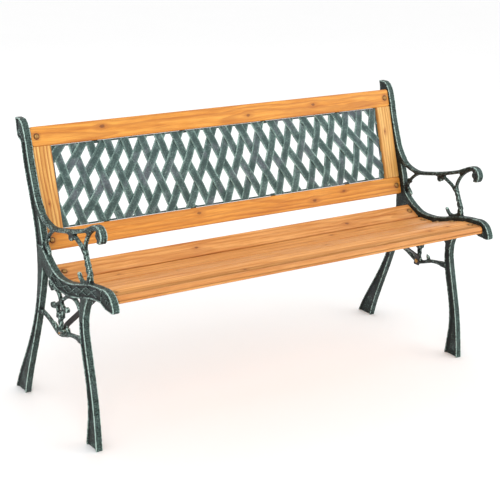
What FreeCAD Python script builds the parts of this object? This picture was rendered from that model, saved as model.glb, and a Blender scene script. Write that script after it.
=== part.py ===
import FreeCAD
import Part
import math
import os

os.makedirs("parts", exist_ok=True)
V = FreeCAD.Vector

# Garden bench: two cast iron side frames, a slatted wooden seat, and a wooden
# back frame that holds a cast lattice. Millimetres. X runs along the bench,
# the sitter faces -Y, Z is up. The origin is on the ground under the middle
# of the bounding box.

# Overall sizes
bench_length = 1220.0
bench_depth = 530.0
bench_height = 750.0
seat_height = 394.0          # lowest point of the seat rail's top edge
arm_rise = 114.0             # arm's lowest point above that

# Side frame casting
casting_width = 20.0         # along X, legs, upright, rail and arm
scroll_thickness = 12.0      # along X, scrolls and stretcher
pocket_depth = 5.0           # recess between the raised edges of a member
bead_width = 4.5             # raised edge of a member
rim_height = 12.5            # seat rail's top edge above the slats
arm_depth = 11.0
scroll_width = 9.5
post_inset = 3.0             # arm's post behind each face of the casting
stretcher_width = 11.0

# Lugs on the inner side of the casting
lug_reach = 28.0
lug_thickness = 5.0
slat_lug_width = 34.0
rail_lug_height = 40.0

# Seat
slat_thickness = 18.0
slat_gap = 6.0
front_slat_width = 79.0
front_slat_round = 11.0
board_round = 2.0
board_end_clearance = 1.0    # between a board's end and the casting

# Back
back_board_thickness = 18.0
back_rail_width = 51.0
stile_width = 51.0
lattice_setback = 4.0        # lattice behind the boards' front faces
lattice_thickness = 8.0
lattice_clearance = 1.0      # around the lattice, inside the wooden frame
lattice_border = 6.0
strip_width = 23.0
strip_overlap = 2.0          # depth shared by the two strip layers
strip_pitch = 55.6           # between strips, along a row of gaps
strip_row = 59.0             # from one row of gaps to the next
fan_radius = 1990.0          # the rows of gaps are arcs about a point far above
fan_row_height = 18.5        # middle row of gaps above the lattice's middle
fan_squeeze = 1.3            # how the rows draw together towards the ends
tab_count = 4                # lattice tabs along each rail
tab_width = 16.0
tab_lap = 15.0               # tab's reach over the rail
tab_thickness = 3.0

# Support under the seat
bar_width = 20.0
bar_thickness = 4.0
bar_first_rise = 35.0        # degrees, where the bar leaves the frame
bar_first_run = 105.0
bar_second_run = 145.0
bar_bend_radius = 12.0
bar_setback = 2.0            # bar's centre line ahead of slat 4's rear edge
bar_hole_height = 243.0
bar_tab_below_hole = 12.0
bar_tab_above_hole = 17.0
bar_boss_radius = 12.0
bar_boss_thickness = 10.0    # along X, the rest of the casting is open for the nut
nut_room = 1.5               # around the washer in that opening
strap_width = 25.0
strap_thickness = 4.0
strap_end_margin = 14.0      # strap ends this far inside the outer slats

# Fasteners
bolt_diameter = 6.0
bolt_hole_clearance = 0.8
bolt_head_diameter = 13.0
bolt_head_height = 3.5
bolt_inset = 15.0            # bolt's axis from the board's end
bolt_stick_out = 2.0
washer_diameter = 12.0
washer_thickness = 1.6
nut_across_flats = 10.0
nut_height = 5.0
thread_fit = 0.1             # play drawn between a thread and what holds it
screw_diameter = 4.0
screw_head_diameter = 8.0
screw_head_height = 2.4
strap_screw_length = 16.0
lattice_screw_length = 14.0
strap_bolt_diameter = 5.0
strap_bolt_head_diameter = 9.5
strap_bolt_sunk = 0.3        # head below the strap's upper face
strap_bolt_nut_flats = 8.0
strap_bolt_nut_height = 4.0
dowel_diameter = 8.0
dowel_depth = 18.0           # into each of the two boards
dowel_spacing = 26.0

# The side profile below is drawn at these sizes and stretched to those above.
# Profile points are (u, z): u grows from the front of the bench to its rear.
DRAWN_DEPTH = 530.0
DRAWN_SEAT = 394.0
DRAWN_ARM = 508.0
DRAWN_HEIGHT = 750.0
DRAWN_CENTRE = -37.0         # u at the middle of the depth


def stretch_height(z):
    drawn = [0.0, DRAWN_SEAT, DRAWN_ARM, DRAWN_HEIGHT]
    real = [0.0, seat_height, seat_height + arm_rise, bench_height]
    for i in range(3):
        if z <= drawn[i + 1] or i == 2:
            share = (z - drawn[i]) / (drawn[i + 1] - drawn[i])
            return real[i] + share * (real[i + 1] - real[i])


def at(u, z):
    return V(0, (u - DRAWN_CENTRE) * bench_depth / DRAWN_DEPTH, stretch_height(z))


def path(points):
    return [at(u, z) for u, z in points]


def spline(points):
    if len(points) == 2:
        return Part.makeLine(points[0], points[1])
    curve = Part.BSplineCurve()
    curve.interpolate(points)
    return curve.toShape()


def side_normals(points):
    # Unit normals in the YZ plane, to the left of the way the points run
    normals = []
    for i in range(len(points)):
        before = points[max(i - 1, 0)]
        after = points[min(i + 1, len(points) - 1)]
        along = (after - before).normalize()
        normals.append(V(0, -along.z, along.y))
    return normals


def offset(points, distances):
    if not isinstance(distances, list):
        distances = [distances] * len(points)
    normals = side_normals(points)
    return [p + n * d for p, n, d in zip(points, normals, distances)]


def plate(side_a, side_b, x_low, x_high):
    # Solid between two smooth sides, closed by straight ends
    edges = [spline(side_a), Part.makeLine(side_a[-1], side_b[-1])]
    edges.append(spline(side_b[::-1]))
    edges.append(Part.makeLine(side_b[0], side_a[0]))
    face = Part.Face(Part.Wire(edges))
    face.translate(V(x_low, 0, 0))
    return face.extrude(V(x_high - x_low, 0, 0))


def ribbon(points, widths, x_low, x_high):
    if not isinstance(widths, list):
        widths = [widths] * len(points)
    halves = [w / 2 for w in widths]
    inner = [-h for h in halves]
    return plate(offset(points, halves), offset(points, inner), x_low, x_high)


def pockets(side_a, side_b, outer_only=False):
    # Recesses that leave a raised edge of bead_width along both sides
    across = [(b - a).normalize() for a, b in zip(side_a, side_b)]
    near = [a + d * bead_width for a, d in zip(side_a, across)]
    far = [b - d * bead_width for b, d in zip(side_b, across)]
    cuts = [plate(near, far, -1, pocket_depth)]
    if not outer_only:
        cuts.append(plate(near, far, casting_width - pocket_depth, casting_width + 1))
    return cuts


def disc(centre, radius, x_low, x_high):
    start = V(x_low, centre.y, centre.z)
    return Part.makeCylinder(radius, x_high - x_low, start, V(1, 0, 0))


def fuse_all(shapes):
    return shapes[0].multiFuse(shapes[1:]).removeSplitter()


def long_edges(solid, wanted):
    # Edges along X whose middle passes the test
    chosen = []
    for edge in solid.Edges:
        if len(edge.Vertexes) == 2:
            a = edge.Vertexes[0].Point
            b = edge.Vertexes[1].Point
            if abs(abs(a.x - b.x) - edge.Length) < 0.001 and edge.Length > 1:
                if wanted((a + b) * 0.5):
                    chosen.append(edge)
    return chosen


def board(length, y_low, y_high, z_low, z_high):
    size = V(length, y_high - y_low, z_high - z_low)
    return Part.makeBox(size.x, size.y, size.z, V(-length / 2, y_low, z_low))


def cylinder(diameter, start, end):
    along = end - start
    return Part.makeCylinder(diameter / 2, along.Length, start, along)


def dome(diameter, height, base, axis):
    # Spherical cap standing on the base point
    a = V(0, 0, 0)
    b = V(diameter / 2, 0, 0)
    top = V(0, 0, height)
    bulge = (diameter * diameter / 4 + height * height) / (2 * height)
    half = math.asin(diameter / 2 / bulge) / 2
    middle = V(bulge * math.sin(half), 0, height - bulge + bulge * math.cos(half))
    edges = [Part.makeLine(a, b), Part.Arc(b, middle, top).toShape()]
    edges.append(Part.makeLine(top, a))
    cap = Part.Face(Part.Wire(edges)).revolve(a, V(0, 0, 1), 360)
    cap.Placement = FreeCAD.Placement(base, FreeCAD.Rotation(V(0, 0, 1), axis))
    return cap


def nut(across_flats, height, bore, base, axis):
    corners = []
    for i in range(7):
        turn = math.radians(60 * i)
        reach = across_flats / math.sqrt(3)
        corners.append(V(reach * math.cos(turn), reach * math.sin(turn), 0))
    hexagon = Part.Face(Part.makePolygon(corners)).extrude(V(0, 0, height))
    hexagon = hexagon.cut(Part.makeCylinder(bore / 2, height))
    hexagon.Placement = FreeCAD.Placement(base, FreeCAD.Rotation(V(0, 0, 1), axis))
    return hexagon


def washer(diameter, thickness, bore, base, axis):
    ring = Part.makeCylinder(diameter / 2, thickness)
    ring = ring.cut(Part.makeCylinder(bore / 2, thickness))
    ring.Placement = FreeCAD.Placement(base, FreeCAD.Rotation(V(0, 0, 1), axis))
    return ring


def bolt_set(head_seat, axis, grip):
    # Domed bolt with washer and nut: the head sits at head_seat, the shank runs
    # along the axis through the grip
    end = head_seat + axis * (grip + washer_thickness + nut_height + bolt_stick_out)
    head = dome(bolt_head_diameter, bolt_head_height, head_seat, axis * -1)
    bolt = head.fuse(cylinder(bolt_diameter, head_seat, end)).removeSplitter()
    ring_seat = head_seat + axis * grip
    ring = washer(washer_diameter, washer_thickness,
                  bolt_diameter + bolt_hole_clearance, ring_seat, axis)
    nut_seat = ring_seat + axis * washer_thickness
    bore = bolt_diameter + thread_fit
    return bolt, ring, nut(nut_across_flats, nut_height, bore, nut_seat, axis)


def wood_screw(head_seat, axis, length):
    head = dome(screw_head_diameter, screw_head_height, head_seat, axis * -1)
    shank = cylinder(screw_diameter, head_seat, head_seat + axis * length)
    return head.fuse(shank).removeSplitter()


def mitred(points, distance, axis):
    # A line of straight runs moved sideways, square to the axis, with mitres
    moved = []
    steps = [(b - a).normalize() for a, b in zip(points, points[1:])]
    for i, point in enumerate(points):
        first = axis.cross(steps[max(i - 1, 0)])
        second = axis.cross(steps[min(i, len(steps) - 1)])
        mitre = (first + second).normalize()
        moved.append(point + mitre * (distance / mitre.dot(first)))
    return moved


# Board lengths and where their bolts stand along X
frame_inside = bench_length / 2 - casting_width
board_length = 2 * (frame_inside - board_end_clearance)
bolt_x = board_length / 2 - bolt_inset
bolt_hole = bolt_diameter + bolt_hole_clearance

# Seat line: the side view of the slats' top faces, front to rear
seat_points = path([(-283, 419.5), (-240, 419), (-200, 414.5), (-170, 408),
                    (-140, 399.5), (-108, 389.5), (-76, 382.5), (-45, 380.5),
                    (-14, 382.5), (10, 391), (36, 405)])
seat_line = spline(seat_points)
narrow_pitch = (seat_line.Length - front_slat_width) / 4
slat_width = narrow_pitch - slat_gap


class Seat:
    # One slat's width and its place: the origin on the middle of its top face
    def __init__(self, distance, width):
        place = seat_line.getParameterByLength(distance)
        along = seat_line.tangentAt(place).normalize()
        self.width = width
        self.along = along
        self.up = V(0, -along.z, along.y)
        tilt = math.degrees(math.atan2(along.z, along.y))
        turn = FreeCAD.Rotation(V(1, 0, 0), tilt)
        self.placement = FreeCAD.Placement(seat_line.valueAt(place), turn)

    def point(self, x, y, z):
        return self.placement.multVec(V(x, y, z))


seats = [Seat(front_slat_width / 2, front_slat_width)]
for i in range(4):
    middle = front_slat_width + slat_gap + slat_width / 2 + i * narrow_pitch
    seats.append(Seat(middle, slat_width))

# Support bar's centre line along Y: just inside the rear edge of slat 4
carrier = seats[3]
bar_offset = carrier.width / 2 - bar_setback
bar_y = carrier.point(0, bar_offset, -slat_thickness).y
bar_hole_z = stretch_height(bar_hole_height)

# Back plane: the boards' front faces lie on this line in the side view
back_low = at(69, 430)
back_high = at(169.6, 728.5)
back_face_height = (back_high - back_low).Length
back_lean = math.degrees(math.atan2(back_high.y - back_low.y, back_high.z - back_low.z))
back_place = FreeCAD.Placement(back_low, FreeCAD.Rotation(V(1, 0, 0), -back_lean))
back_rear = back_place.Rotation.multVec(V(0, 1, 0))
rail_middles = [back_rail_width / 2, back_face_height - back_rail_width / 2]


def on_back(x, depth, height):
    # Point at a depth behind the front faces and a height along the slope
    return back_place.multVec(V(x, depth, height))


# Side frame members as pairs of front and rear points, ground upwards
rear_front = path([(172, 0), (160, 48), (136, 120), (108, 200), (79, 300),
                   (61, 395), (61, 447), (84, 520), (118, 600), (152, 697)])
rear_rear = path([(230, 0), (208, 50), (170, 120), (131, 200), (100, 300),
                  (93, 395), (98, 445), (119, 520), (151, 600), (180, 692)])
leg_front = path([(-225, 0), (-218, 47), (-209, 100), (-189, 180), (-165, 262),
                  (-155, 315), (-166, 362), (-190, 402)])
leg_rear = path([(-171, 0), (-176, 50), (-178, 100), (-163, 180), (-139, 262),
                 (-133, 315), (-137, 362), (-145, 402)])
rail_depth = slat_thickness + lug_thickness + 1
rail_points = path([(-262, 420), (-240, 419.5), (-200, 415), (-170, 408.5),
                    (-140, 399.5), (-108, 389.5), (-76, 382.5), (-45, 380.5),
                    (-14, 382.5), (10, 391), (36, 405), (66, 430)])
rail_top = offset(rail_points, rim_height)
rail_bottom = offset(rail_points, -rail_depth)

# Rolled ends of the seat rail and of the upright
nose_front = path([(-240, 432), (-262, 433.5), (-280, 427.5), (-293, 415),
                   (-300, 401), (-302, 391), (-299, 387)])
nose_rear = path([(-230, 394), (-240, 395), (-250, 391), (-262, 387.5),
                  (-276, 386.5), (-288, 386), (-294, 386)])
head_front = path([(147, 682), (157, 709), (165, 727), (176, 741), (190, 749)])
head_rear = path([(176, 682), (184, 693), (196, 699), (205, 720), (213, 748)])

# Arm and scrolls as centre lines
arm_line = path([(113, 566), (97, 544), (80, 527), (60, 516), (40, 510), (20, 507), (0, 508),
                 (-30, 514), (-80, 526), (-130, 541), (-180, 560), (-206, 570),
                 (-224, 569), (-234, 557), (-231, 544), (-220, 541)])
arm_widths = [arm_depth + extra for extra in
              [5, 4, 2, 0, 0, 0, 0, 0, 0, 0, 1, 3, 3, 2, 0, -2]]
post_upper = path([(-188, 560), (-167, 543), (-156, 526), (-150, 511), (-149, 494)])
post_branch = path([(-146, 490), (-132, 503), (-115, 511), (-97, 518), (-84, 520),
                    (-74, 513), (-77, 503)])
post_lower = path([(-149, 500), (-156, 483), (-166, 464), (-174, 446), (-172, 422)])
post_hook = path([(-174, 434), (-160, 422), (-146, 417), (-130, 419), (-120, 430)])
rear_loop = path([(5, 506), (29, 493), (45, 477), (55, 461), (66, 448)])
loop_leaf = path([(58, 455), (48, 446), (39, 437)])
scroll_front = path([(-140, 322), (-123, 338), (-110, 351), (-92, 357), (-57, 350),
                     (-37, 338), (-17, 323), (18, 305)])
scroll_rear = path([(36, 366), (33, 350), (18, 351), (-2, 350), (-14, 342),
                    (-20, 332), (-32, 316), (-53, 314)])
fork_front = path([(-21, 286), (-34, 301), (-31, 317)])
fork_rear = path([(-19, 286), (-6, 300), (-8, 318)])
twist_post = path([(-20, 296), (-20, 273), (-20, 240)])
stretcher = path([(104, 256), (70, 265), (38, 258), (18, 250), (0, 242), (-18, 238),
                  (-42, 243), (-72, 254), (-92, 258), (-120, 260), (-150, 262)])
spur = path([(-64, 250), (-61, 258), (-57, 267)])


def side_frame():
    # Left side frame with its outer face at x = 0 and its lugs towards +X
    full = (0, casting_width)
    thin_low = (casting_width - scroll_thickness) / 2
    thin = (thin_low, casting_width - thin_low)
    solids = [plate(rear_front, rear_rear, *full), plate(leg_front, leg_rear, *full)]
    solids.append(plate(rail_top, rail_bottom, *full))
    solids.append(plate(nose_front, nose_rear, *full))
    solids.append(plate(head_front, head_rear, *full))
    solids.append(ribbon(arm_line, arm_widths, *full))
    solids.append(disc(at(-221, 555), 9.0, *full))
    for line in (post_upper, post_branch, post_hook, rear_loop, scroll_front):
        solids.append(ribbon(line, scroll_width, *thin))
    for line in (scroll_rear, loop_leaf, fork_front, fork_rear, spur):
        solids.append(ribbon(line, scroll_width, *thin))
    lower_widths = [11, 12, 12, 13, 17]
    solids.append(ribbon(post_lower, lower_widths, post_inset, casting_width - post_inset))
    solids.append(ribbon(twist_post, [17, 22, 17], 1, casting_width - 1))
    solids.append(disc(at(-83, 512), 8.0, *thin))
    solids.append(disc(at(24, 350), 9.0, *thin))
    solids.append(disc(at(20, 304), 8.0, *thin))
    solids.append(disc(at(-54, 314), 7.5, *thin))
    stretcher_widths = [stretcher_width] * 9 + [stretcher_width + 5] * 2
    solids.append(ribbon(stretcher, stretcher_widths, *thin))
    boss = V(0, bar_y, bar_hole_z)
    solids.append(disc(boss, bar_boss_radius, casting_width - bar_boss_thickness,
                       casting_width))
    frame = fuse_all(solids)

    cuts = pockets(rear_front[:5], rear_rear[:5])
    cuts += pockets(rear_front[6:], rear_rear[6:], outer_only=True)
    cuts += pockets(leg_front[:6], leg_rear[:6])
    cuts += pockets(rail_top[1:10], rail_bottom[1:10], outer_only=True)
    frame = frame.cut(Part.makeCompound(cuts))

    # Lugs that carry the slats and the back rails, drilled with the boards
    lugs = []
    drills = []
    lug_root = casting_width - 2 * pocket_depth
    lug_length = casting_width + lug_reach - lug_root
    hole_x = casting_width + board_end_clearance + bolt_inset
    for seat in seats:
        lug = Part.makeBox(lug_length, slat_lug_width, lug_thickness,
                           V(lug_root, -slat_lug_width / 2, -slat_thickness - lug_thickness))
        lug.Placement = seat.placement
        lugs.append(lug)
        drills.append(cylinder(bolt_hole, seat.point(hole_x, 0, 0),
                               seat.point(hole_x, 0, -slat_thickness - lug_thickness - 1)))
    for middle in rail_middles:
        lug = Part.makeBox(lug_length, lug_thickness, rail_lug_height,
                           V(lug_root, back_board_thickness, middle - rail_lug_height / 2))
        lug.Placement = back_place
        lugs.append(lug)
        drills.append(cylinder(bolt_hole, on_back(hole_x, back_board_thickness - 1, middle),
                               on_back(hole_x, back_board_thickness + lug_thickness + 1, middle)))
    drills.append(cylinder(bolt_hole, V(1, bar_y, bar_hole_z),
                           V(casting_width + 1, bar_y, bar_hole_z)))
    frame = fuse_all([frame] + lugs)
    nut_opening = disc(boss, washer_diameter / 2 + nut_room, -1,
                       casting_width - bar_boss_thickness)
    return frame.cut(nut_opening).cut(Part.makeCompound(drills))


def mirror_x(shape):
    return shape.mirror(V(0, 0, 0), V(1, 0, 0))


def both_ends(make):
    # Solids made at +X and again at -X
    return [make(1), make(-1)]


nodes = {}
left_frame = side_frame()
left_frame.translate(V(-bench_length / 2, 0, 0))
nodes["left_side_frame"] = left_frame
nodes["right_side_frame"] = mirror_x(left_frame)

# Seat slats with their bolts
slat_bolts = []
slat_washers = []
slat_nuts = []
strap_screws = []
strap_hole = screw_diameter + bolt_hole_clearance
for number, seat in enumerate(seats, 1):
    half = seat.width / 2
    slat = board(board_length, -half, half, -slat_thickness, 0)
    if number == 1:
        slat = slat.makeFillet(front_slat_round, long_edges(slat, lambda m: m.y < 0 and m.z > -1))
        slat = slat.makeFillet(board_round, long_edges(slat, lambda m: m.y > 0 and m.z > -1))
    else:
        slat = slat.makeFillet(board_round, long_edges(slat, lambda m: m.z > -1))
    slat.Placement = seat.placement
    holes = []
    for x in (-bolt_x, bolt_x):
        holes.append(cylinder(bolt_hole, seat.point(x, 0, 1),
                              seat.point(x, 0, -slat_thickness - 1)))
        grip = slat_thickness + lug_thickness
        bolt, ring, hexagon = bolt_set(seat.point(x, 0, 0), seat.up * -1, grip)
        slat_bolts.append(bolt)
        slat_washers.append(ring)
        slat_nuts.append(hexagon)
    screw_seat = seat.point(0, 0, -slat_thickness - strap_thickness)
    strap_screws.append(wood_screw(screw_seat, seat.up, strap_screw_length))
    holes.append(cylinder(screw_diameter + thread_fit, screw_seat,
                          screw_seat + seat.up * (strap_screw_length + thread_fit)))
    nodes["seat_slat_%d" % number] = slat.cut(Part.makeCompound(holes))
nodes["seat_slat_bolts"] = Part.makeCompound(slat_bolts)
nodes["seat_slat_washers"] = Part.makeCompound(slat_washers)
nodes["seat_slat_nuts"] = Part.makeCompound(slat_nuts)
nodes["strap_screws"] = Part.makeCompound(strap_screws)

# Centre strap: bent to lie flat on the underside of every slat
strap_upper = [seats[0].point(0, strap_end_margin - seats[0].width / 2, -slat_thickness)]
for before, after in zip(seats, seats[1:]):
    leave = before.point(0, before.width / 2, -slat_thickness)
    reach = after.point(0, -after.width / 2, -slat_thickness)
    margin = (reach - leave).Length / 4
    strap_upper.append(leave + before.along * margin)
    strap_upper.append(reach - after.along * margin)
strap_upper.append(seats[4].point(0, seats[4].width / 2 - strap_end_margin, -slat_thickness))
strap_lower = mitred(strap_upper, strap_thickness, V(-1, 0, 0))
outline = Part.makePolygon(strap_upper + strap_lower[::-1] + strap_upper[:1])
strap = Part.Face(outline).extrude(V(strap_width, 0, 0))
strap.translate(V(-strap_width / 2, 0, 0))
strap_drills = []
for seat in seats:
    strap_drills.append(cylinder(strap_hole, seat.point(0, 0, -slat_thickness + 1),
                                 seat.point(0, 0, -slat_thickness - strap_thickness - 1)))

# Countersunk bolt through the strap and the support bar
bolt_top = carrier.point(0, bar_offset, -slat_thickness) - V(0, 0, strap_bolt_sunk)
sink_height = (strap_bolt_head_diameter - strap_bolt_diameter) / 2
strap_bottom = carrier.point(0, bar_offset, -slat_thickness - strap_thickness)
bar_top_z = strap_bottom.z - bar_width / 2 * abs(carrier.along.z)
down = V(0, 0, -1)
sink = Part.makeCone(strap_bolt_head_diameter / 2, strap_bolt_diameter / 2, sink_height,
                     bolt_top, down)
hole_size = strap_bolt_diameter + bolt_hole_clearance
sink_hole = Part.makeCone(strap_bolt_head_diameter / 2 + thread_fit,
                          strap_bolt_diameter / 2 + thread_fit,
                          sink_height, bolt_top, down)
strap = strap.cut(Part.makeCompound(strap_drills)).cut(sink_hole)
head_room = strap_bolt_head_diameter + 2 * thread_fit
strap = strap.cut(cylinder(head_room, bolt_top, bolt_top - down * 5))
nodes["seat_centre_strap"] = strap.cut(cylinder(hole_size, bolt_top, bolt_top + down * 20))
bar_bottom_z = bar_top_z - bar_thickness
bolt_end = V(0, bolt_top.y, bar_bottom_z - strap_bolt_nut_height - bolt_stick_out)
nodes["strap_bolt"] = sink.fuse(cylinder(strap_bolt_diameter, bolt_top, bolt_end)).removeSplitter()
nodes["strap_nut"] = nut(strap_bolt_nut_flats, strap_bolt_nut_height,
                         strap_bolt_diameter + thread_fit, V(0, bolt_top.y, bar_bottom_z), down)

# Support bar: upright tabs on the frames, rising in two bends to the strap
tab_x = frame_inside - bar_thickness / 2
low_z = bar_hole_z - bar_tab_below_hole
tab_top_z = bar_hole_z + bar_tab_above_hole
flat_z = bar_top_z - bar_thickness / 2
knee_x = tab_x - bar_first_run
knee_z = tab_top_z + bar_first_run * math.tan(math.radians(bar_first_rise))
knee_z = min(knee_z, tab_top_z + 0.8 * (flat_z - tab_top_z))
half_line = [V(tab_x, 0, low_z), V(tab_x, 0, tab_top_z), V(knee_x, 0, knee_z),
             V(knee_x - bar_second_run, 0, flat_z)]
centres = [V(-p.x, 0, p.z) for p in half_line] + half_line[::-1]
one_side = mitred(centres, bar_thickness / 2, V(0, 1, 0))
other_side = mitred(centres, -bar_thickness / 2, V(0, 1, 0))
bar_outline = Part.makePolygon(one_side + other_side[::-1] + one_side[:1])
bar = Part.Face(bar_outline).extrude(V(0, bar_width, 0))
for inner_side in (True, False):
    corners = []
    for before, here, after, a, b in zip(centres, centres[1:], centres[2:],
                                         one_side[1:], other_side[1:]):
        inward = (before - here).normalize() + (after - here).normalize()
        corners.append(a if ((a - here).dot(inward) > 0) == inner_side else b)
    picked = []
    for edge in bar.Edges:
        middle = edge.CenterOfMass
        flat_middle = V(middle.x, 0, middle.z)
        near = min((flat_middle - c).Length for c in corners)
        if near < 0.01 and abs(edge.Length - bar_width) < 0.01:
            picked.append(edge)
    radius = bar_bend_radius if inner_side else bar_bend_radius + bar_thickness
    bar = bar.makeFillet(radius, picked)
bar.translate(V(0, bar_y - bar_width / 2, 0))
bar_holes = [cylinder(hole_size, V(0, bar_y, flat_z + 10), V(0, bar_y, flat_z - 10))]
bar_bolts = []
bar_washers = []
bar_nuts = []
for end in (-1, 1):
    inner = V(end * (frame_inside - bar_thickness), bar_y, bar_hole_z)
    outward = V(end, 0, 0)
    bar_holes.append(cylinder(bolt_hole, inner - outward, inner + outward * (bar_thickness + 1)))
    grip = bar_thickness + bar_boss_thickness
    bolt, ring, hexagon = bolt_set(inner, outward, grip)
    bar_bolts.append(bolt)
    bar_washers.append(ring)
    bar_nuts.append(hexagon)
nodes["seat_support_bar"] = bar.cut(Part.makeCompound(bar_holes))
nodes["support_bar_bolts"] = Part.makeCompound(bar_bolts)
nodes["support_bar_washers"] = Part.makeCompound(bar_washers)
nodes["support_bar_nuts"] = Part.makeCompound(bar_nuts)

# Back boards: two rails over the full width and two stiles between them
stile_x = board_length / 2 - stile_width / 2
window_low = back_rail_width
window_high = back_face_height - back_rail_width
dowels = []
dowel_holes = []
for side in (-1, 1):
    for joint in (window_low, window_high):
        for step in (-0.5, 0.5):
            x = side * stile_x + step * dowel_spacing
            low = on_back(x, back_board_thickness / 2, joint - dowel_depth)
            high = on_back(x, back_board_thickness / 2, joint + dowel_depth)
            spare = (high - low).normalize() * 0.5
            dowels.append(cylinder(dowel_diameter, low, high))
            dowel_holes.append(cylinder(dowel_diameter + thread_fit, low - spare, high + spare))
nodes["stile_dowels"] = Part.makeCompound(dowels)
dowel_cut = Part.makeCompound(dowel_holes)

# Lattice tabs and their screws, evenly spaced along each rail
lattice_width = board_length - 2 * stile_width - 2 * lattice_clearance
lattice_low = window_low + lattice_clearance
lattice_high = window_high - lattice_clearance
tab_step = lattice_width / tab_count
tab_centres = [(i - (tab_count - 1) / 2) * tab_step for i in range(tab_count)]
tab_joints = ((window_low, lattice_low, -1), (window_high, lattice_high, 1))
lattice_screws = []
screw_holes = []
tabs = []
tab_drills = []
lattice_rear = lattice_setback + lattice_thickness
for x in tab_centres:
    for joint, edge, way in tab_joints:
        foot_far = edge - way * lattice_border
        post = Part.makeBox(tab_width, back_board_thickness + tab_thickness - lattice_rear + 1,
                            lattice_border, V(x - tab_width / 2, lattice_rear - 1,
                                              min(edge, foot_far)))
        lap_end = joint + way * tab_lap
        lap = Part.makeBox(tab_width, tab_thickness, abs(lap_end - foot_far),
                           V(x - tab_width / 2, back_board_thickness, min(lap_end, foot_far)))
        tabs += [post, lap]
        hole = joint + way * tab_lap / 2
        head_seat = on_back(x, back_board_thickness + tab_thickness, hole)
        lattice_screws.append(wood_screw(head_seat, back_rear * -1, lattice_screw_length))
        tab_drills.append(Part.makeCylinder(strap_hole / 2, 2 * tab_thickness,
                                            V(x, back_board_thickness - 1, hole), V(0, 1, 0)))
        screw_end = head_seat - back_rear * (lattice_screw_length + thread_fit)
        screw_holes.append(cylinder(screw_diameter + thread_fit, head_seat, screw_end))
nodes["lattice_screws"] = Part.makeCompound(lattice_screws)

# Back rails with their bolts
rail_bolts = []
rail_washers = []
rail_nuts = []
for name, middle in zip(("back_bottom_rail", "back_top_rail"), rail_middles):
    half = back_rail_width / 2
    rail = board(board_length, 0, back_board_thickness, middle - half, middle + half)
    outer_z = middle - half if name == "back_bottom_rail" else middle + half
    rail = rail.makeFillet(board_round, long_edges(rail, lambda m: abs(m.z - outer_z) < 0.01))
    rail.Placement = back_place
    holes = [dowel_cut] + screw_holes
    for x in (-bolt_x, bolt_x):
        holes.append(cylinder(bolt_hole, on_back(x, -1, middle),
                              on_back(x, back_board_thickness + 1, middle)))
        grip = back_board_thickness + lug_thickness
        bolt, ring, hexagon = bolt_set(on_back(x, 0, middle), back_rear, grip)
        rail_bolts.append(bolt)
        rail_washers.append(ring)
        rail_nuts.append(hexagon)
    nodes[name] = rail.cut(Part.makeCompound(holes))
nodes["back_rail_bolts"] = Part.makeCompound(rail_bolts)
nodes["back_rail_washers"] = Part.makeCompound(rail_washers)
nodes["back_rail_nuts"] = Part.makeCompound(rail_nuts)
for name, side in (("back_left_stile", -1), ("back_right_stile", 1)):
    stile = Part.makeBox(stile_width, back_board_thickness, window_high - window_low,
                         V(side * stile_x - stile_width / 2, 0, window_low))
    stile.Placement = back_place
    nodes[name] = stile.cut(dowel_cut)

# Lattice: two layers of strips that fan out from the middle, in a thin border
lattice_height = lattice_high - lattice_low
half_width = lattice_width / 2
layer = (lattice_thickness + strip_overlap) / 2
fan_centre = (lattice_low + lattice_high) / 2 + fan_row_height + fan_radius


def fan_point(share, row):
    # A point so many pitches sideways and so many rows up from the middle gap
    angle = share * strip_pitch / fan_radius
    radius = fan_radius - row * strip_row * (1 - fan_squeeze * angle * angle)
    return V(radius * math.sin(angle), 0, fan_centre - radius * math.cos(angle))


def strip_sides(number, rows):
    # The two curved sides of one strip, each through three points
    points = [fan_point(number + 0.5 + row / 2, row) for row in rows]
    along = (points[2] - points[0]).normalize()
    across = V(along.z, 0, -along.x) * (strip_width / 2)
    return [p - across for p in points], [p + across for p in points]


row_reach = lattice_height / strip_row
rows = (-row_reach, 0.0, row_reach)
strip_reach = int(half_width / strip_pitch + row_reach / 2) + 2
strip_solids = []
for mirrored, depth in ((-1, lattice_setback), (1, lattice_rear - layer)):
    for number in range(-strip_reach, strip_reach):
        near, far = strip_sides(number, rows)
        edges = [Part.Arc(*near).toShape(), Part.makeLine(near[2], far[2])]
        edges += [Part.Arc(*far[::-1]).toShape(), Part.makeLine(far[0], near[0])]
        strip = Part.Face(Part.Wire(edges)).extrude(V(0, layer, 0))
        strip.translate(V(0, depth, 0))
        strip_solids.append(strip if mirrored > 0 else mirror_x(strip))
blank = Part.makeBox(lattice_width, lattice_thickness, lattice_height,
                     V(-half_width, lattice_setback, lattice_low))
window = Part.makeBox(lattice_width - 2 * lattice_border, lattice_thickness + 2,
                      lattice_height - 2 * lattice_border,
                      V(-half_width + lattice_border, lattice_setback - 1,
                        lattice_low + lattice_border))
border = blank.cut(window)
strips = strip_solids[0].multiFuse(strip_solids[1:]).common(blank)
lattice = fuse_all([border, strips] + tabs).cut(Part.makeCompound(tab_drills))
lattice.Placement = back_place
nodes["back_lattice_panel"] = lattice

for name, shape in nodes.items():
    shape.exportStep("parts/%s.step" % name)
    print(name, len(shape.Solids), "solids", round(shape.Volume), "mm3", shape.isValid())
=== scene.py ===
import math

import bmesh
import bpy
import numpy as np
from bpy.props import FloatProperty, FloatVectorProperty, IntProperty, PointerProperty
from mathutils import Matrix, Vector
from mathutils.kdtree import KDTree


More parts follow.
